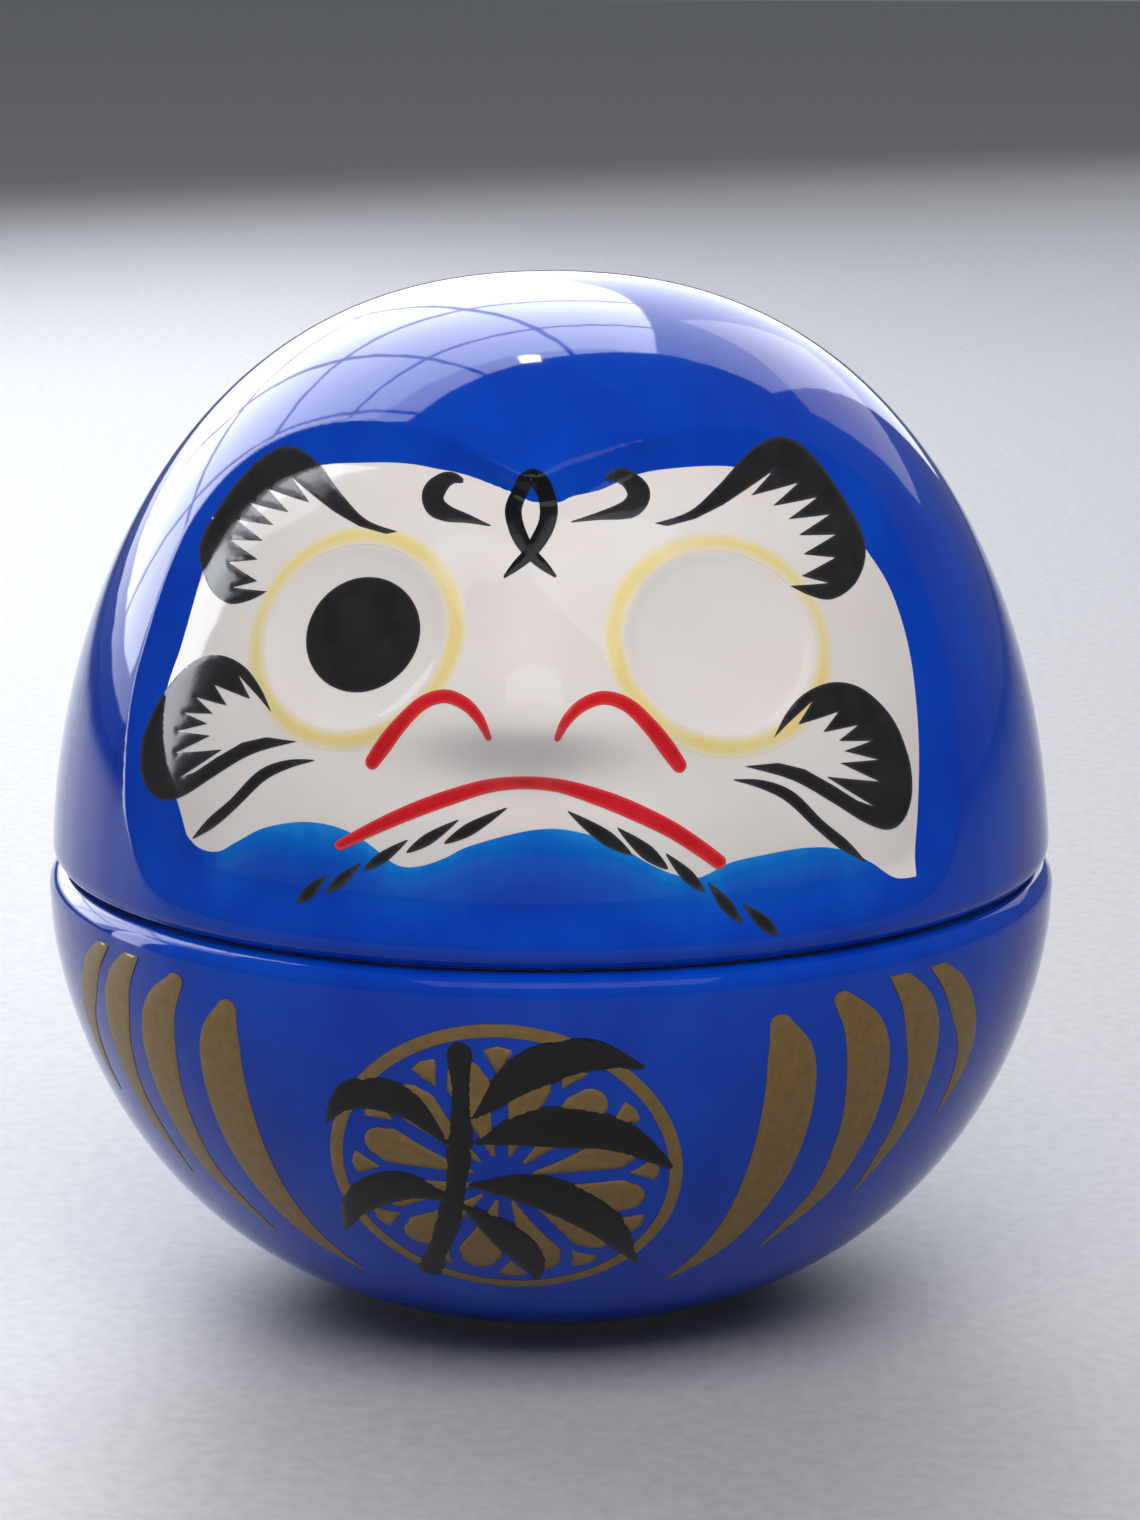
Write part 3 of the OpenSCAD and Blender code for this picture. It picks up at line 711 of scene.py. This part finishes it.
def potters_wheel():
    """The wheel: carries a closed profile round the axis, then welds the seam and the poles."""
    tree, given, made = new_tree("potters_wheel", [
        ("Profile", "Geometry", None), ("Profile points", "Int", 100), ("Columns", "Int", 180),
        ("Weld distance", "Float", 2e-6), ("Surface", "Material", None)], "Pot")
    across = maths(tree, "ADD", given["Columns"], 1.0)
    along = maths(tree, "ADD", given["Profile points"], 1.0)
    sheet = node_of(tree, "GeometryNodeMeshGrid", {"Vertices X": along, "Vertices Y": across})
    index = node_of(tree, "GeometryNodeInputIndex")
    lap = maths(tree, "FLOOR", maths(tree, "DIVIDE", maths(tree, "ADD", index, 0.5), across))
    column = maths(tree, "SUBTRACT", index, maths(tree, "MULTIPLY", lap, across))
    row = maths(tree, "ROUND", maths(tree, "FLOORED_MODULO", lap, given["Profile points"]))
    on_profile = node_of(tree, "GeometryNodeSampleIndex", {
        "Geometry": given["Profile"], "Value": node_of(tree, "GeometryNodeInputPosition"), "Index": row},
        data_type="FLOAT_VECTOR", domain="POINT")
    turn = maths(tree, "MULTIPLY", column, maths(tree, "DIVIDE", 2 * math.pi, given["Columns"]))
    spot = node_of(tree, "ShaderNodeVectorRotate", {"Vector": on_profile, "Angle": turn},
                   rotation_type="Z_AXIS")
    shaped = node_of(tree, "GeometryNodeSetPosition", {"Geometry": sheet, "Position": spot})
    welded = node_of(tree, "GeometryNodeMergeByDistance",
                     {"Geometry": shaped, "Distance": given["Weld distance"]})
    return finish_tree(tree, welded, given["Surface"], made)


def grow(carrier, tree, **values):
    """Runs a tree once on an object and gives the object the finished mesh."""
    modifier = carrier.modifiers.new(tree.name, "NODES")
    modifier.node_group = tree
    for item in tree.interface.items_tree:
        key = item.name.lower().replace(" ", "_")
        if item.in_out == "INPUT" and key in values:
            modifier[item.identifier] = values[key]
    graph = bpy.context.evaluated_depsgraph_get()
    mesh = bpy.data.meshes.new_from_object(carrier.evaluated_get(graph), preserve_all_data_layers=True,
                                           depsgraph=graph)
    carrier.modifiers.remove(modifier)
    mesh.name, carrier.data = carrier.name, mesh
    return carrier


def thrown(name, profile, columns, surface):
    """A closed profile of (radius, height) turned on the wheel."""
    obj = as_mesh(name, [(0, -r, z) for r, z in profile], [])
    grow(obj, WHEEL, profile_points=len(profile), columns=columns, weld_distance=2e-6, surface=surface)
    return weld_and_orient(obj)


WHEEL = potters_wheel()
FRONT_COLUMNS = np.radians(np.arange(-66, 66.01, 0.48))  # close together where the face is
BACK_COLUMNS = np.radians(np.arange(69, 291.01, 3.0))
LID_COLUMNS = np.concatenate([FRONT_COLUMNS, BACK_COLUMNS])
PATCH_END = 58
LID_ROWS = np.concatenate([np.arange(4, PATCH_END, 0.45), np.linspace(PATCH_END, 90, 26)])
PATCH_ROWS = LID_ROWS[LID_ROWS < PATCH_END + 0.01]
SQUARE_UP = 46.0  # makes a step sideways as long as a step upward
FAR = 99.0  # millimetres from any thin edge: full strength
BOWL_COLUMNS = 240


def build_lid_body():
    """The white lid: glazed outside (the coat lies on most of it), hollow, with its locating flange."""
    edge_round = round_over((RIM_OUTER, SEAM + LID_EDGE), LID_EDGE - COAT, -90, -6, 8)
    tip = SEAM - FLANGE_DEPTH
    lower = [(FLANGE_INNER, SEAM + 3), (FLANGE_INNER, tip + 0.5), (FLANGE_INNER + 0.5, tip),
             (FLANGE_OUTER - 0.6, tip), (FLANGE_OUTER, tip + 0.6), (FLANGE_OUTER, SEAM - 0.3),
             (FLANGE_OUTER + 0.3, SEAM), (RIM_OUTER - 1, SEAM)] + edge_round
    low = carried_round(lower, LID_COLUMNS)
    turn, t = np.meshgrid(LID_COLUMNS, LID_ROWS)
    outer = place(LID_FORM, turn, t, relief(turn, t) - WHITE_SUNK).reshape(-1, 3)
    inner_t = np.linspace(90, 12, 40)
    turn_in, t_in = np.meshgrid(LID_COLUMNS, inner_t)
    inner = place(LID_FORM, turn_in, t_in, np.full_like(t_in, -LID_WALL)).reshape(-1, 3)
    rows = len(lower) + len(LID_ROWS) + len(inner_t)
    faces = wheel_faces(rows, len(LID_COLUMNS))
    return weld_and_orient(as_mesh("lid_body_white_stoneware", np.vstack([low, outer, inner]), faces))


def bare_where(obj, test):
    """Gives the faces that pass the test the bare clay."""
    mesh = obj.data
    mesh.materials.clear()
    mesh.materials.append(WHITE)
    mesh.materials.append(BARE)
    for face in mesh.polygons:
        c = face.center / MM
        if test(math.hypot(c.x, c.y), c.z):
            face.material_index = 1


lid_body = build_lid_body()
bare_where(lid_body, lambda r, z: FLANGE_OUTER - 0.2 < r and z < SEAM + 0.55)
finish_piece(lid_body, None, "lid", ["lid_body"])


def patch_round_face(loop):
    """Triangles on the front of the lid with the face cut out; both directions run evenly in millimetres."""
    across, along = np.meshgrid(FRONT_COLUMNS * SQUARE_UP, PATCH_ROWS)
    grid = np.stack([across.ravel(), along.ravel()], -1)
    border = (np.abs(grid[:, 0]) > FRONT_COLUMNS[-1] * SQUARE_UP - 1e-6) | \
        (grid[:, 1] < PATCH_ROWS[0] + 1e-6) | (grid[:, 1] > PATCH_ROWS[-1] - 1e-6)
    grid = grid[((distance(grid, loop) > 0.2) & ~inside(grid, loop)) | border]
    n = len(loop)
    flat, tris = triangulated(np.vstack([loop, grid]), [(i, (i + 1) % n) for i in range(n)], 1e-6)
    return flat, tris[~inside(flat[tris].mean(1), loop)]


def build_lid_coat():
    """The blue hood and beard: a coat over the lid with the face left open."""
    face_turn, face_t = front_turn_and_t(face_loop[:, 0], face_loop[:, 1])
    flat, tris = patch_round_face(np.stack([face_turn * SQUARE_UP, face_t], -1))
    turns, places, faces = [flat[:, 0] / SQUARE_UP], [flat[:, 1]], tris.tolist()
    count = len(flat)
    # the rest of the lid in even quads: the back, then the crown all round
    back = np.concatenate([FRONT_COLUMNS[-1:], BACK_COLUMNS, FRONT_COLUMNS[:1] + 2 * math.pi])
    crown = np.concatenate([PATCH_ROWS[-1:], LID_ROWS[LID_ROWS > PATCH_ROWS[-1] + 0.01]])
    for columns, rows, closed in ((back, PATCH_ROWS, False), (LID_COLUMNS, crown, True)):
        a, b = np.meshgrid(columns, rows)
        turns.append(a.ravel())
        places.append(b.ravel())
        m = len(columns)
        for i in range(len(rows) - 1):
            for k in range(m if closed else m - 1):
                here, right = count + i * m + k, count + i * m + (k + 1) % m
                faces.append([here, right, right + m, here + m])
        count += len(columns) * len(rows)
    turn, t = np.concatenate(turns), np.concatenate(places)
    on_base = place(LID_FORM, turn, t, DRAWN_AT)
    front = (np.cos(turn) > 0.2) & (t < 64)
    edge, wash = np.full(len(turn), FAR), np.full(len(turn), FAR)
    edge[front] = distance(on_base[front], on_lid_base(face_loop))
    wash[front] = distance(on_base[front], on_lid_base(smooth(BEARD_EDGE)), closed=False)
    beyond = ease((np.abs(on_base[:, 0] - 1) - 31) / 7)  # the wash ends before the face's lower corners
    wash = np.where(on_base[:, 2] < 68, wash + 9 * beyond, FAR)
    white = relief(turn, t) - WHITE_SUNK
    top = place(LID_FORM, turn, t, white + coat_height(edge))
    under = place(LID_FORM, turn, t, white - COAT_ROOT)
    # the coat's lower edge rolls under the lid's edge
    m = len(LID_COLUMNS)
    first = np.full(m, LID_ROWS[0])
    white = relief(LID_COLUMNS, first) - WHITE_SUNK
    centre = (RIM_OUTER, SEAM + LID_EDGE)
    roll = round_over(centre, LID_EDGE, -6, -62, 7)
    roll += round_over(centre, LID_EDGE - COAT - 0.1, -6, -62, 7)[::-1]
    rings = np.vstack([place(LID_FORM, LID_COLUMNS, first, white + COAT_STEP),
                       carried_round(roll, LID_COLUMNS),
                       place(LID_FORM, LID_COLUMNS, first, white - COAT_ROOT)])
    n = len(top)
    faces += [[i + n for i in face[::-1]] for face in faces]
    face_rim = [(a, b) for a, b in rim_edges(tris) if edge[a] < 0.02 and edge[b] < 0.02]
    faces += [[b, a, a + n, b + n] for a, b in face_rim]
    for i in range(len(rings) // m - 1):
        for k in range(m):
            here, right = 2 * n + i * m + k, 2 * n + i * m + (k + 1) % m
            faces.append([here, here + m, right + m, right])
    wash = np.concatenate([wash, wash, np.full(len(rings), FAR)])
    obj = as_mesh("lid_blue_glaze_coat", np.vstack([top, under, rings]), faces, {"wash_mm": wash})
    crease(obj, face_rim)
    return weld_and_orient(obj, 0.004)


finish_piece(build_lid_coat(), BLUE, "lid", ["lid_blue_glaze"])


def build_bowl_body():
    """The white bowl: hollow inside, bare on rim and foot."""
    t = np.linspace(6, 84, 60)
    r, z = grown(BOWL_FORM, t, -COAT)
    outer = [(a, b) for a, b in zip(r, z) if b > FOOT_HEIGHT]
    r, z = grown(BOWL_FORM, t, -BOWL_WALL)
    inner = [(a, b) for a, b in zip(r, z) if b > FLOOR + 0.6 and b < SEAM - 5]
    last = inner[-1]
    profile = [(0, FOOT_HEIGHT - 0.4), (FOOT_INNER - 1, FOOT_HEIGHT - 0.4),
               (FOOT_INNER - 0.2, FOOT_HEIGHT - 0.6), (FOOT_INNER, 0.5), (FOOT_INNER + 0.5, 0.05),
               (FOOT_INNER + 0.9, 0), (FOOT_OUTER - 0.9, 0),
               (FOOT_OUTER - 0.4, 0.08), (FOOT_OUTER, 0.5), (FOOT_OUTER + 0.15, FOOT_HEIGHT - 0.3),
               (FOOT_OUTER + 0.6, FOOT_HEIGHT)]
    profile += outer[::-1]
    profile += round_over((RIM_OUTER, SEAM - SHOULDER), SHOULDER - COAT, 0, 80, 8)
    profile += [(RIM_OUTER - 0.2, SEAM - 0.05), (RIM_OUTER - 0.5, SEAM), (BOWL_INNER + 0.4, SEAM),
                (BOWL_INNER + 0.1, SEAM - 0.1), (BOWL_INNER, SEAM - 0.4), (BOWL_INNER, SEAM - 4)]
    profile += inner
    profile += [(last[0] - 1.6, FLOOR + 0.15), (last[0] - 4, FLOOR), (10, FLOOR), (0, FLOOR)]
    return thrown("bowl_body_white_stoneware", profile, BOWL_COLUMNS, WHITE)


bowl_body = build_bowl_body()
bare_where(bowl_body, lambda r, z: (z > SEAM - 0.3 and r > BOWL_INNER) or (z < 0.6 and r < FOOT_OUTER + 0.3))
finish_piece(bowl_body, None, "bowl", ["bowl_body"])


def build_bowl_coat():
    """The blue coat outside the bowl, from the shoulder down to the foot."""
    t = np.linspace(6, 84, 90)
    profile = round_over((RIM_OUTER, SEAM - SHOULDER), SHOULDER, 84, 0, 12)
    r, z = grown(BOWL_FORM, t, 0)
    profile += [(a, b) for a, b in zip(r, z) if b > FOOT_HEIGHT]
    r, z = grown(BOWL_FORM, t, -COAT - 0.1)
    profile += [(a, b) for a, b in zip(r, z) if b > FOOT_HEIGHT][::-1]
    profile += round_over((RIM_OUTER, SEAM - SHOULDER), SHOULDER - COAT - 0.1, 0, 84, 10)
    obj = thrown("bowl_blue_glaze_coat", profile, BOWL_COLUMNS, BLUE)
    full = obj.data.attributes.new("wash_mm", "FLOAT", "POINT")  # full strength all over
    full.data.foreach_set("value", [FAR] * len(obj.data.vertices))
    return obj


bowl_coat = finish_piece(build_bowl_coat(), BLUE, "bowl", ["bowl_blue_glaze"])

# ---- painted marks on the bowl ----
STRIPES = [[(28, 41.9, 2.2), (28.9, 38.6, 4.4), (28.9, 34.6, 4.9), (28, 29.6, 4.8), (26.4, 24.6, 4.2),
            (23.6, 19.2, 3), (20, 14.8, 1.7), (15.8, 11.4, 0.15)],
           [(34, 43.6, 1.8), (35.9, 40.4, 3.6), (36.5, 36.6, 4.2), (36, 31.6, 3.7), (34.6, 26.8, 2.9),
            (31.6, 21, 1.8), (25.3, 14.5, 0.15)],
           [(39.2, 45.2, 1.4), (41.1, 42, 2.8), (41.8, 38.4, 3.3), (41.6, 33.6, 2.6), (40.2, 28.4, 1.8),
            (37.8, 24, 1.1), (34.8, 19.6, 0.15)],
           [(43, 45.2, 1.1), (44.9, 42.4, 2.1), (45.9, 38.8, 2.3), (46.2, 35, 1.7), (45.2, 30.8, 1),
            (43.3, 27, 0.15)]]
for side, word in ((-1, "left"), (1, "right")):
    for i, spine in enumerate(STRIPES, 1):
        node = f"gold_stripe_{word}_{i}"
        obj = painted(node + "_enamel", [by_hand(round_ends(spine), side)], wrap_bowl_front, 0.1, 0.4)
        finish_piece(obj, GOLD, "bowl", [node])

BAMBOO = [round_ends(s) for s in (
    [(-8.6, -15.4, 2.8), (-7.4, -11.4, 2.2), (-6.2, -7.2, 2.8)],
    [(-5.8, -5.8, 2.8), (-4.9, -1.2, 2.1), (-4.3, 3.2, 2.7)],
    [(-4.1, 4.6, 2.7), (-3.8, 9.4, 2), (-3.8, 14.6, 2.6)])] + [stroke(s) for s in (
        [(-5.2, 4, 0.4), (-9.6, 8.6, 3.8), (-15, 8.4, 3.2), (-18, 4.4, 0.3)],
        [(-2.8, 7.4, 0.5), (2.4, 12.6, 4.2), (8.6, 14.4, 3.6), (14.4, 12.4, 0.3)],
        [(-2.6, 4.6, 0.5), (4, 6.6, 4.8), (11.4, 5, 4), (17.2, -0.6, 0.3)],
        [(-4.8, -3.2, 0.5), (-10.4, -2.2, 4), (-15.2, -5.6, 3.4), (-17.4, -11.4, 0.3)],
        [(-3.6, -1, 0.5), (3.4, -1.6, 4.6), (9.4, -6.4, 4.4), (12.8, -14.4, 0.3)],
        [(-4.6, -3.6, 0.5), (-0.4, -8, 4), (2, -12.2, 3.4), (2.4, -16.4, 0.3)])]
bamboo = painted("bamboo_motif_enamel", BAMBOO, wrap_medallion, 0.2, 0.4)
finish_piece(bamboo, LACQUER, "bowl", ["bamboo_motif"])


def circle(radius, steps=160):
    a = np.linspace(0, 2 * math.pi, steps, endpoint=False)
    return np.stack([radius * np.cos(a), radius * np.sin(a)], -1)


ring = painted("medallion_ring_enamel", [circle(17.85)], wrap_medallion, 0.1, 0.3, cut=[circle(16.55)])
finish_piece(ring, GOLD, "bowl", ["medallion_ring"])


def stamped_petals():
    """One petal and one wedge stamped round a circle, laid onto the bowl's coat and thickened."""
    tree, given, made = new_tree("stamped_petals", [
        ("Petal", "Geometry", None), ("Wedge", "Object", None), ("Coat", "Object", None),
        ("Count", "Int", 12),
        ("Centre", "Vector", None), ("Tilt", "Float", 0.4), ("Turn", "Float", 0.0),
        ("Paint", "Float", 0.0001),
        ("Sunk", "Float", 0.0001), ("Enamel", "Material", None)], "Petals")
    step = maths(tree, "DIVIDE", 2 * math.pi, given["Count"])
    index = node_of(tree, "GeometryNodeInputIndex")
    lean = maths(tree, "ADD", given["Tilt"], math.pi / 2)

    def rotation(axis, angle):
        euler = node_of(tree, "ShaderNodeCombineXYZ", {axis: angle})
        return node_of(tree, "FunctionNodeEulerToRotation", {"Euler": euler})

    def round_the_circle(shape, late):
        points = node_of(tree, "GeometryNodePoints", {"Count": given["Count"]})
        facing = rotation("Z", maths(tree, "MULTIPLY", maths(tree, "ADD", index, late), step))
        return node_of(tree, "GeometryNodeInstanceOnPoints",
                       {"Points": points, "Instance": shape, "Rotation": facing})

    def shape_of(thing):
        return add(tree, "GeometryNodeObjectInfo", {"Object": thing}).outputs["Geometry"]

    def joined(*parts):
        node = add(tree, "GeometryNodeJoinGeometry")
        for part in parts:
            tree.links.new(part, node.inputs[0])
        return node.outputs[0]

    def vector(kind, a, b):
        return node_of(tree, "ShaderNodeVectorMath", {0: a, 1: b}, operation=kind)

    def scaled(a, factor):
        return node_of(tree, "ShaderNodeVectorMath", {0: a, "Scale": factor}, operation="SCALE")

    both = joined(round_the_circle(given["Petal"], 0.5), round_the_circle(shape_of(given["Wedge"]), 0.0))
    flat = node_of(tree, "GeometryNodeRealizeInstances", {"Geometry": both})
    upright = node_of(tree, "GeometryNodeTransform",
                      {"Geometry": flat, "Translation": given["Centre"], "Rotation": rotation("X", lean)})
    outward = node_of(tree, "ShaderNodeVectorRotate", {"Vector": (0.0, 0.0, 1.0), "Angle": lean},
                      rotation_type="X_AXIS")
    here = node_of(tree, "GeometryNodeInputPosition")
    start = vector("ADD", here, scaled(outward, 0.014))
    hit = add(tree, "GeometryNodeRaycast", {
        "Target Geometry": shape_of(given["Coat"]), "Source Position": start,
        "Ray Direction": scaled(outward, -1.0), "Ray Length": 0.05})
    sunk = vector("SUBTRACT", hit.outputs["Hit Position"], scaled(hit.outputs["Hit Normal"], given["Sunk"]))
    laid = node_of(tree, "GeometryNodeSetPosition", {"Geometry": upright, "Position": sunk})
    edge = node_of(tree, "GeometryNodeInputNamedAttribute", {"Name": "edge_mm"}, data_type="FLOAT")
    swelling = node_of(tree, "ShaderNodeMapRange",
                       {"Value": edge, "From Max": 0.3, "To Min": 0.45, "To Max": 1.0})
    height = maths(tree, "MULTIPLY_ADD", swelling, given["Paint"], given["Sunk"])
    raised = node_of(tree, "GeometryNodeExtrudeMesh",
                     {"Mesh": laid, "Offset Scale": height, "Individual": False}, mode="FACES")
    solid = joined(raised, node_of(tree, "GeometryNodeFlipFaces", {"Mesh": laid}))
    closed = node_of(tree, "GeometryNodeMergeByDistance", {"Geometry": solid, "Distance": 1e-6})
    turned = node_of(tree, "GeometryNodeTransform",
                     {"Geometry": closed, "Rotation": rotation("Z", given["Turn"])})
    return finish_tree(tree, turned, given["Enamel"], made)


def flat_shape(name, loop):
    """A filled outline lying flat, with each point's distance from the edge."""
    flat, tris = filled([resample(loop, 0.32)])
    return as_mesh(name, np.column_stack([flat, np.zeros(len(flat))]), tris.tolist(),
                   {"edge_mm": edge_reach(flat, rim_edges(tris))})


PETAL = round_ends([(0, 3.2, 0.4), (0, 6, 1.5), (0, 9, 3), (0, 11.6, 4.4), (0, 12.6, 3.8)])
petals = flat_shape("medallion_petals_enamel", PETAL)
wedge = flat_shape("medallion_wedge_shape", np.array([(0, 12.6), (1.5, 15.2), (0, 15.6), (-1.5, 15.2)]))
grow(petals, stamped_petals(), wedge=wedge, coat=bowl_coat, count=12, centre=tuple(MEDALLION_CENTRE * MM),
     tilt=MEDALLION_TILT, turn=BOWL_TURN, paint=0.1 * MM, sunk=0.1 * MM, enamel=GOLD)
bpy.data.objects.remove(wedge)
finish_piece(weld_and_orient(petals), GOLD, "bowl", ["medallion_petals"])


# ---- painted marks on the lid ----
def eye_line(eye, more):
    """A closed line round an eye's own axis, as drawn on the front view."""
    turn, t, wide, high = eye
    centre, across, up, out = eye_axes(turn, t)
    a = np.linspace(0, 2 * math.pi, 120, endpoint=False)[:, None]
    p = centre + (wide + more) * np.cos(a) * across + (high + more) * np.sin(a) * up
    for _ in range(3):  # drop it back onto the turned surface
        p = p - (np.hypot(p[:, 0], p[:, 1]) - np.interp(p[:, 2], LID_Z, LID_R))[:, None] * out
    return p[:, [0, 2]]


for side, word in ((-1, "left"), (1, "right")):
    ring = painted(f"eye_ring_{word}_stain", [eye_line(EYES[side], EYE_RING_HALF)], wrap_lid, 0.03, 0.6,
                   cut=[eye_line(EYES[side], -EYE_RING_HALF)], spacing=0.4)
    finish_piece(ring, YELLOW, "lid", [f"eye_ring_{word}"])
pupil = painted("eye_pupil_left_enamel", [eye_line(PUPIL, 0)], wrap_lid, 0.12, 0.6)
finish_piece(pupil, BLACK, "lid", ["eye_pupil_left"])

for side, word in ((-1, "left"), (1, "right")):
    marks = [("brow", [by_hand(BROW, side, (-0.9, 1.0))], 0.08),
             ("cheek_tuft", [by_hand(CHEEK, side, (-1.4, -1.8))], 0.08),
             ("curl", [CURLS[side]], 0.08),
             ("cheek_streak", [by_hand(STREAK, side, (-0.6, -1.4))], 0.07),
             ("nose_line", [by_hand(NOSE_LINE, side)], 0.08),
             ("whiskers", [whisker(*ends) for ends in WHISKERS[side]], 0.09)]
    for stem, loops, thick in marks:
        look, slot_name = (RED, "red_enamel") if stem == "nose_line" else (BLACK, "black_enamel")
        obj = painted(f"{stem}_{word}_enamel", loops, wrap_lid, thick, 0.25, spacing=0.4)
        finish_piece(obj, look, "lid", [f"{stem}_{word}"])
mouth = painted("mouth_line_enamel", [MOUTH], wrap_lid, 0.08, 0.35, spacing=0.4)
finish_piece(mouth, RED, "lid", ["mouth_line"])
knot = painted("forehead_knot_enamel", KNOT, wrap_lid, 0.1, 0.35, spacing=0.4)
finish_piece(knot, LACQUER, "lid", ["forehead_knot"])


# ---- floor, lights, camera ----
def build_floor():
    """A plain pale table top."""
    far = 3000
    floor = as_mesh("pale_floor", [(-far, -far, 0), (far, -far, 0), (far, far, 0), (-far, far, 0)],
                    [[0, 1, 2, 3]], shade=False)
    look = grained("pale_matt_table_top", [(0.3, "#A9A9AC"), (0.7, "#B6B6B8")], (2, 5), Roughness=0.55)
    floor.data.materials.append(look)


def soft_light(name, around, up, distance_mm, size_mm, radiance, tint="#FFFFFF", diffuse=True, glossy=True,
               beside_mm=0.0, above_mm=0.0):
    """A flat lit panel that looks at the middle of the piece; around is 0 in front, -90 on the left.
    The last two move it within its own plane."""
    light = bpy.data.lights.new(name, "AREA")
    light.shape, light.size, light.size_y = "RECTANGLE", size_mm[0] * MM, size_mm[1] * MM
    light.energy = radiance * math.pi * light.size * light.size_y
    light.color = linear(tint)[:3]
    obj = bpy.data.objects.new(name, light)
    a, e = math.radians(around), math.radians(up)
    away = Vector((math.sin(a) * math.cos(e), -math.cos(a) * math.cos(e), math.sin(e)))
    beside = Vector((math.cos(a), math.sin(a), 0))
    shift = beside * beside_mm + away.cross(beside) * above_mm
    obj.location = (Vector((0, 0, 60)) + away * distance_mm + shift) * MM
    obj.rotation_euler = (-away).to_track_quat("-Z", "Y").to_euler()
    obj.visible_camera, obj.visible_diffuse, obj.visible_glossy = False, diffuse, glossy
    bpy.context.scene.collection.objects.link(obj)


build_floor()
PANE, PITCH = 300, 318
for row in range(4):  # a window of sixteen panes behind the left shoulder
    for column in range(4):
        soft_light(f"window_pane_{row}_{column}", -146, 38, 1000, (PANE, PANE), 5.2, "#F4F7FF", diffuse=False,
                   beside_mm=(column - 1.5) * PITCH, above_mm=(row - 1.5) * PITCH)
soft_light("back_wall_glow", -156, 34, 1150, (2400, 1400), 2.2, "#F4F7FF", diffuse=False)
soft_light("window_daylight", -145, 34, 1000, (1000, 700), 1.9, "#F4F7FF", glossy=False)
soft_light("tall_left_window", -103, 10, 900, (190, 520), 6.5, "#F4F7FF", diffuse=False)
soft_light("back_right_wall", 152, 27, 1100, (500, 420), 1.1, "#FFF2EC", diffuse=False)
soft_light("ceiling_spot", -169, 68, 880, (50, 50), 30.0, diffuse=False)
soft_light("ceiling_glow", 8, 52, 1300, (1300, 560), 1.1, diffuse=False)
soft_light("front_fill", 8, 56, 1300, (1000, 800), 5.6, "#FFFAF6", glossy=False)

world = bpy.data.worlds.new("pale_room")
bpy.context.scene.world = world
world.use_nodes = True
world.node_tree.nodes["Background"].inputs["Color"].default_value = linear("#DCE2EC")
world.node_tree.nodes["Background"].inputs["Strength"].default_value = 0.24
bpy.context.scene.view_settings.view_transform = "Standard"

CAMERA_DISTANCE, CAMERA_ROUND, CAMERA_UP = 495.0, 3.0, 13.389
LENS_MM, LOOK_DOWN, LOOK_RIGHT = 106.34, 12.284, 0.2476


def build_camera():
    camera = bpy.data.cameras.new("camera")
    camera.lens, camera.sensor_width = LENS_MM, 36
    camera.clip_start, camera.clip_end = 0.01, 20
    obj = bpy.data.objects.new("camera", camera)
    around, up = math.radians(CAMERA_ROUND), math.radians(CAMERA_UP)
    back = Vector((math.sin(around) * math.cos(up), -math.cos(around) * math.cos(up), math.sin(up)))
    obj.location = (Vector((0, 0, SEAM)) + back * CAMERA_DISTANCE) * MM
    heading, down = around - math.radians(LOOK_RIGHT), math.radians(LOOK_DOWN)
    gaze = Vector((-math.sin(heading) * math.cos(down), math.cos(heading) * math.cos(down), -math.sin(down)))
    obj.rotation_euler = gaze.to_track_quat("-Z", "Y").to_euler()
    bpy.context.scene.collection.objects.link(obj)
    bpy.context.scene.camera = obj


build_camera()
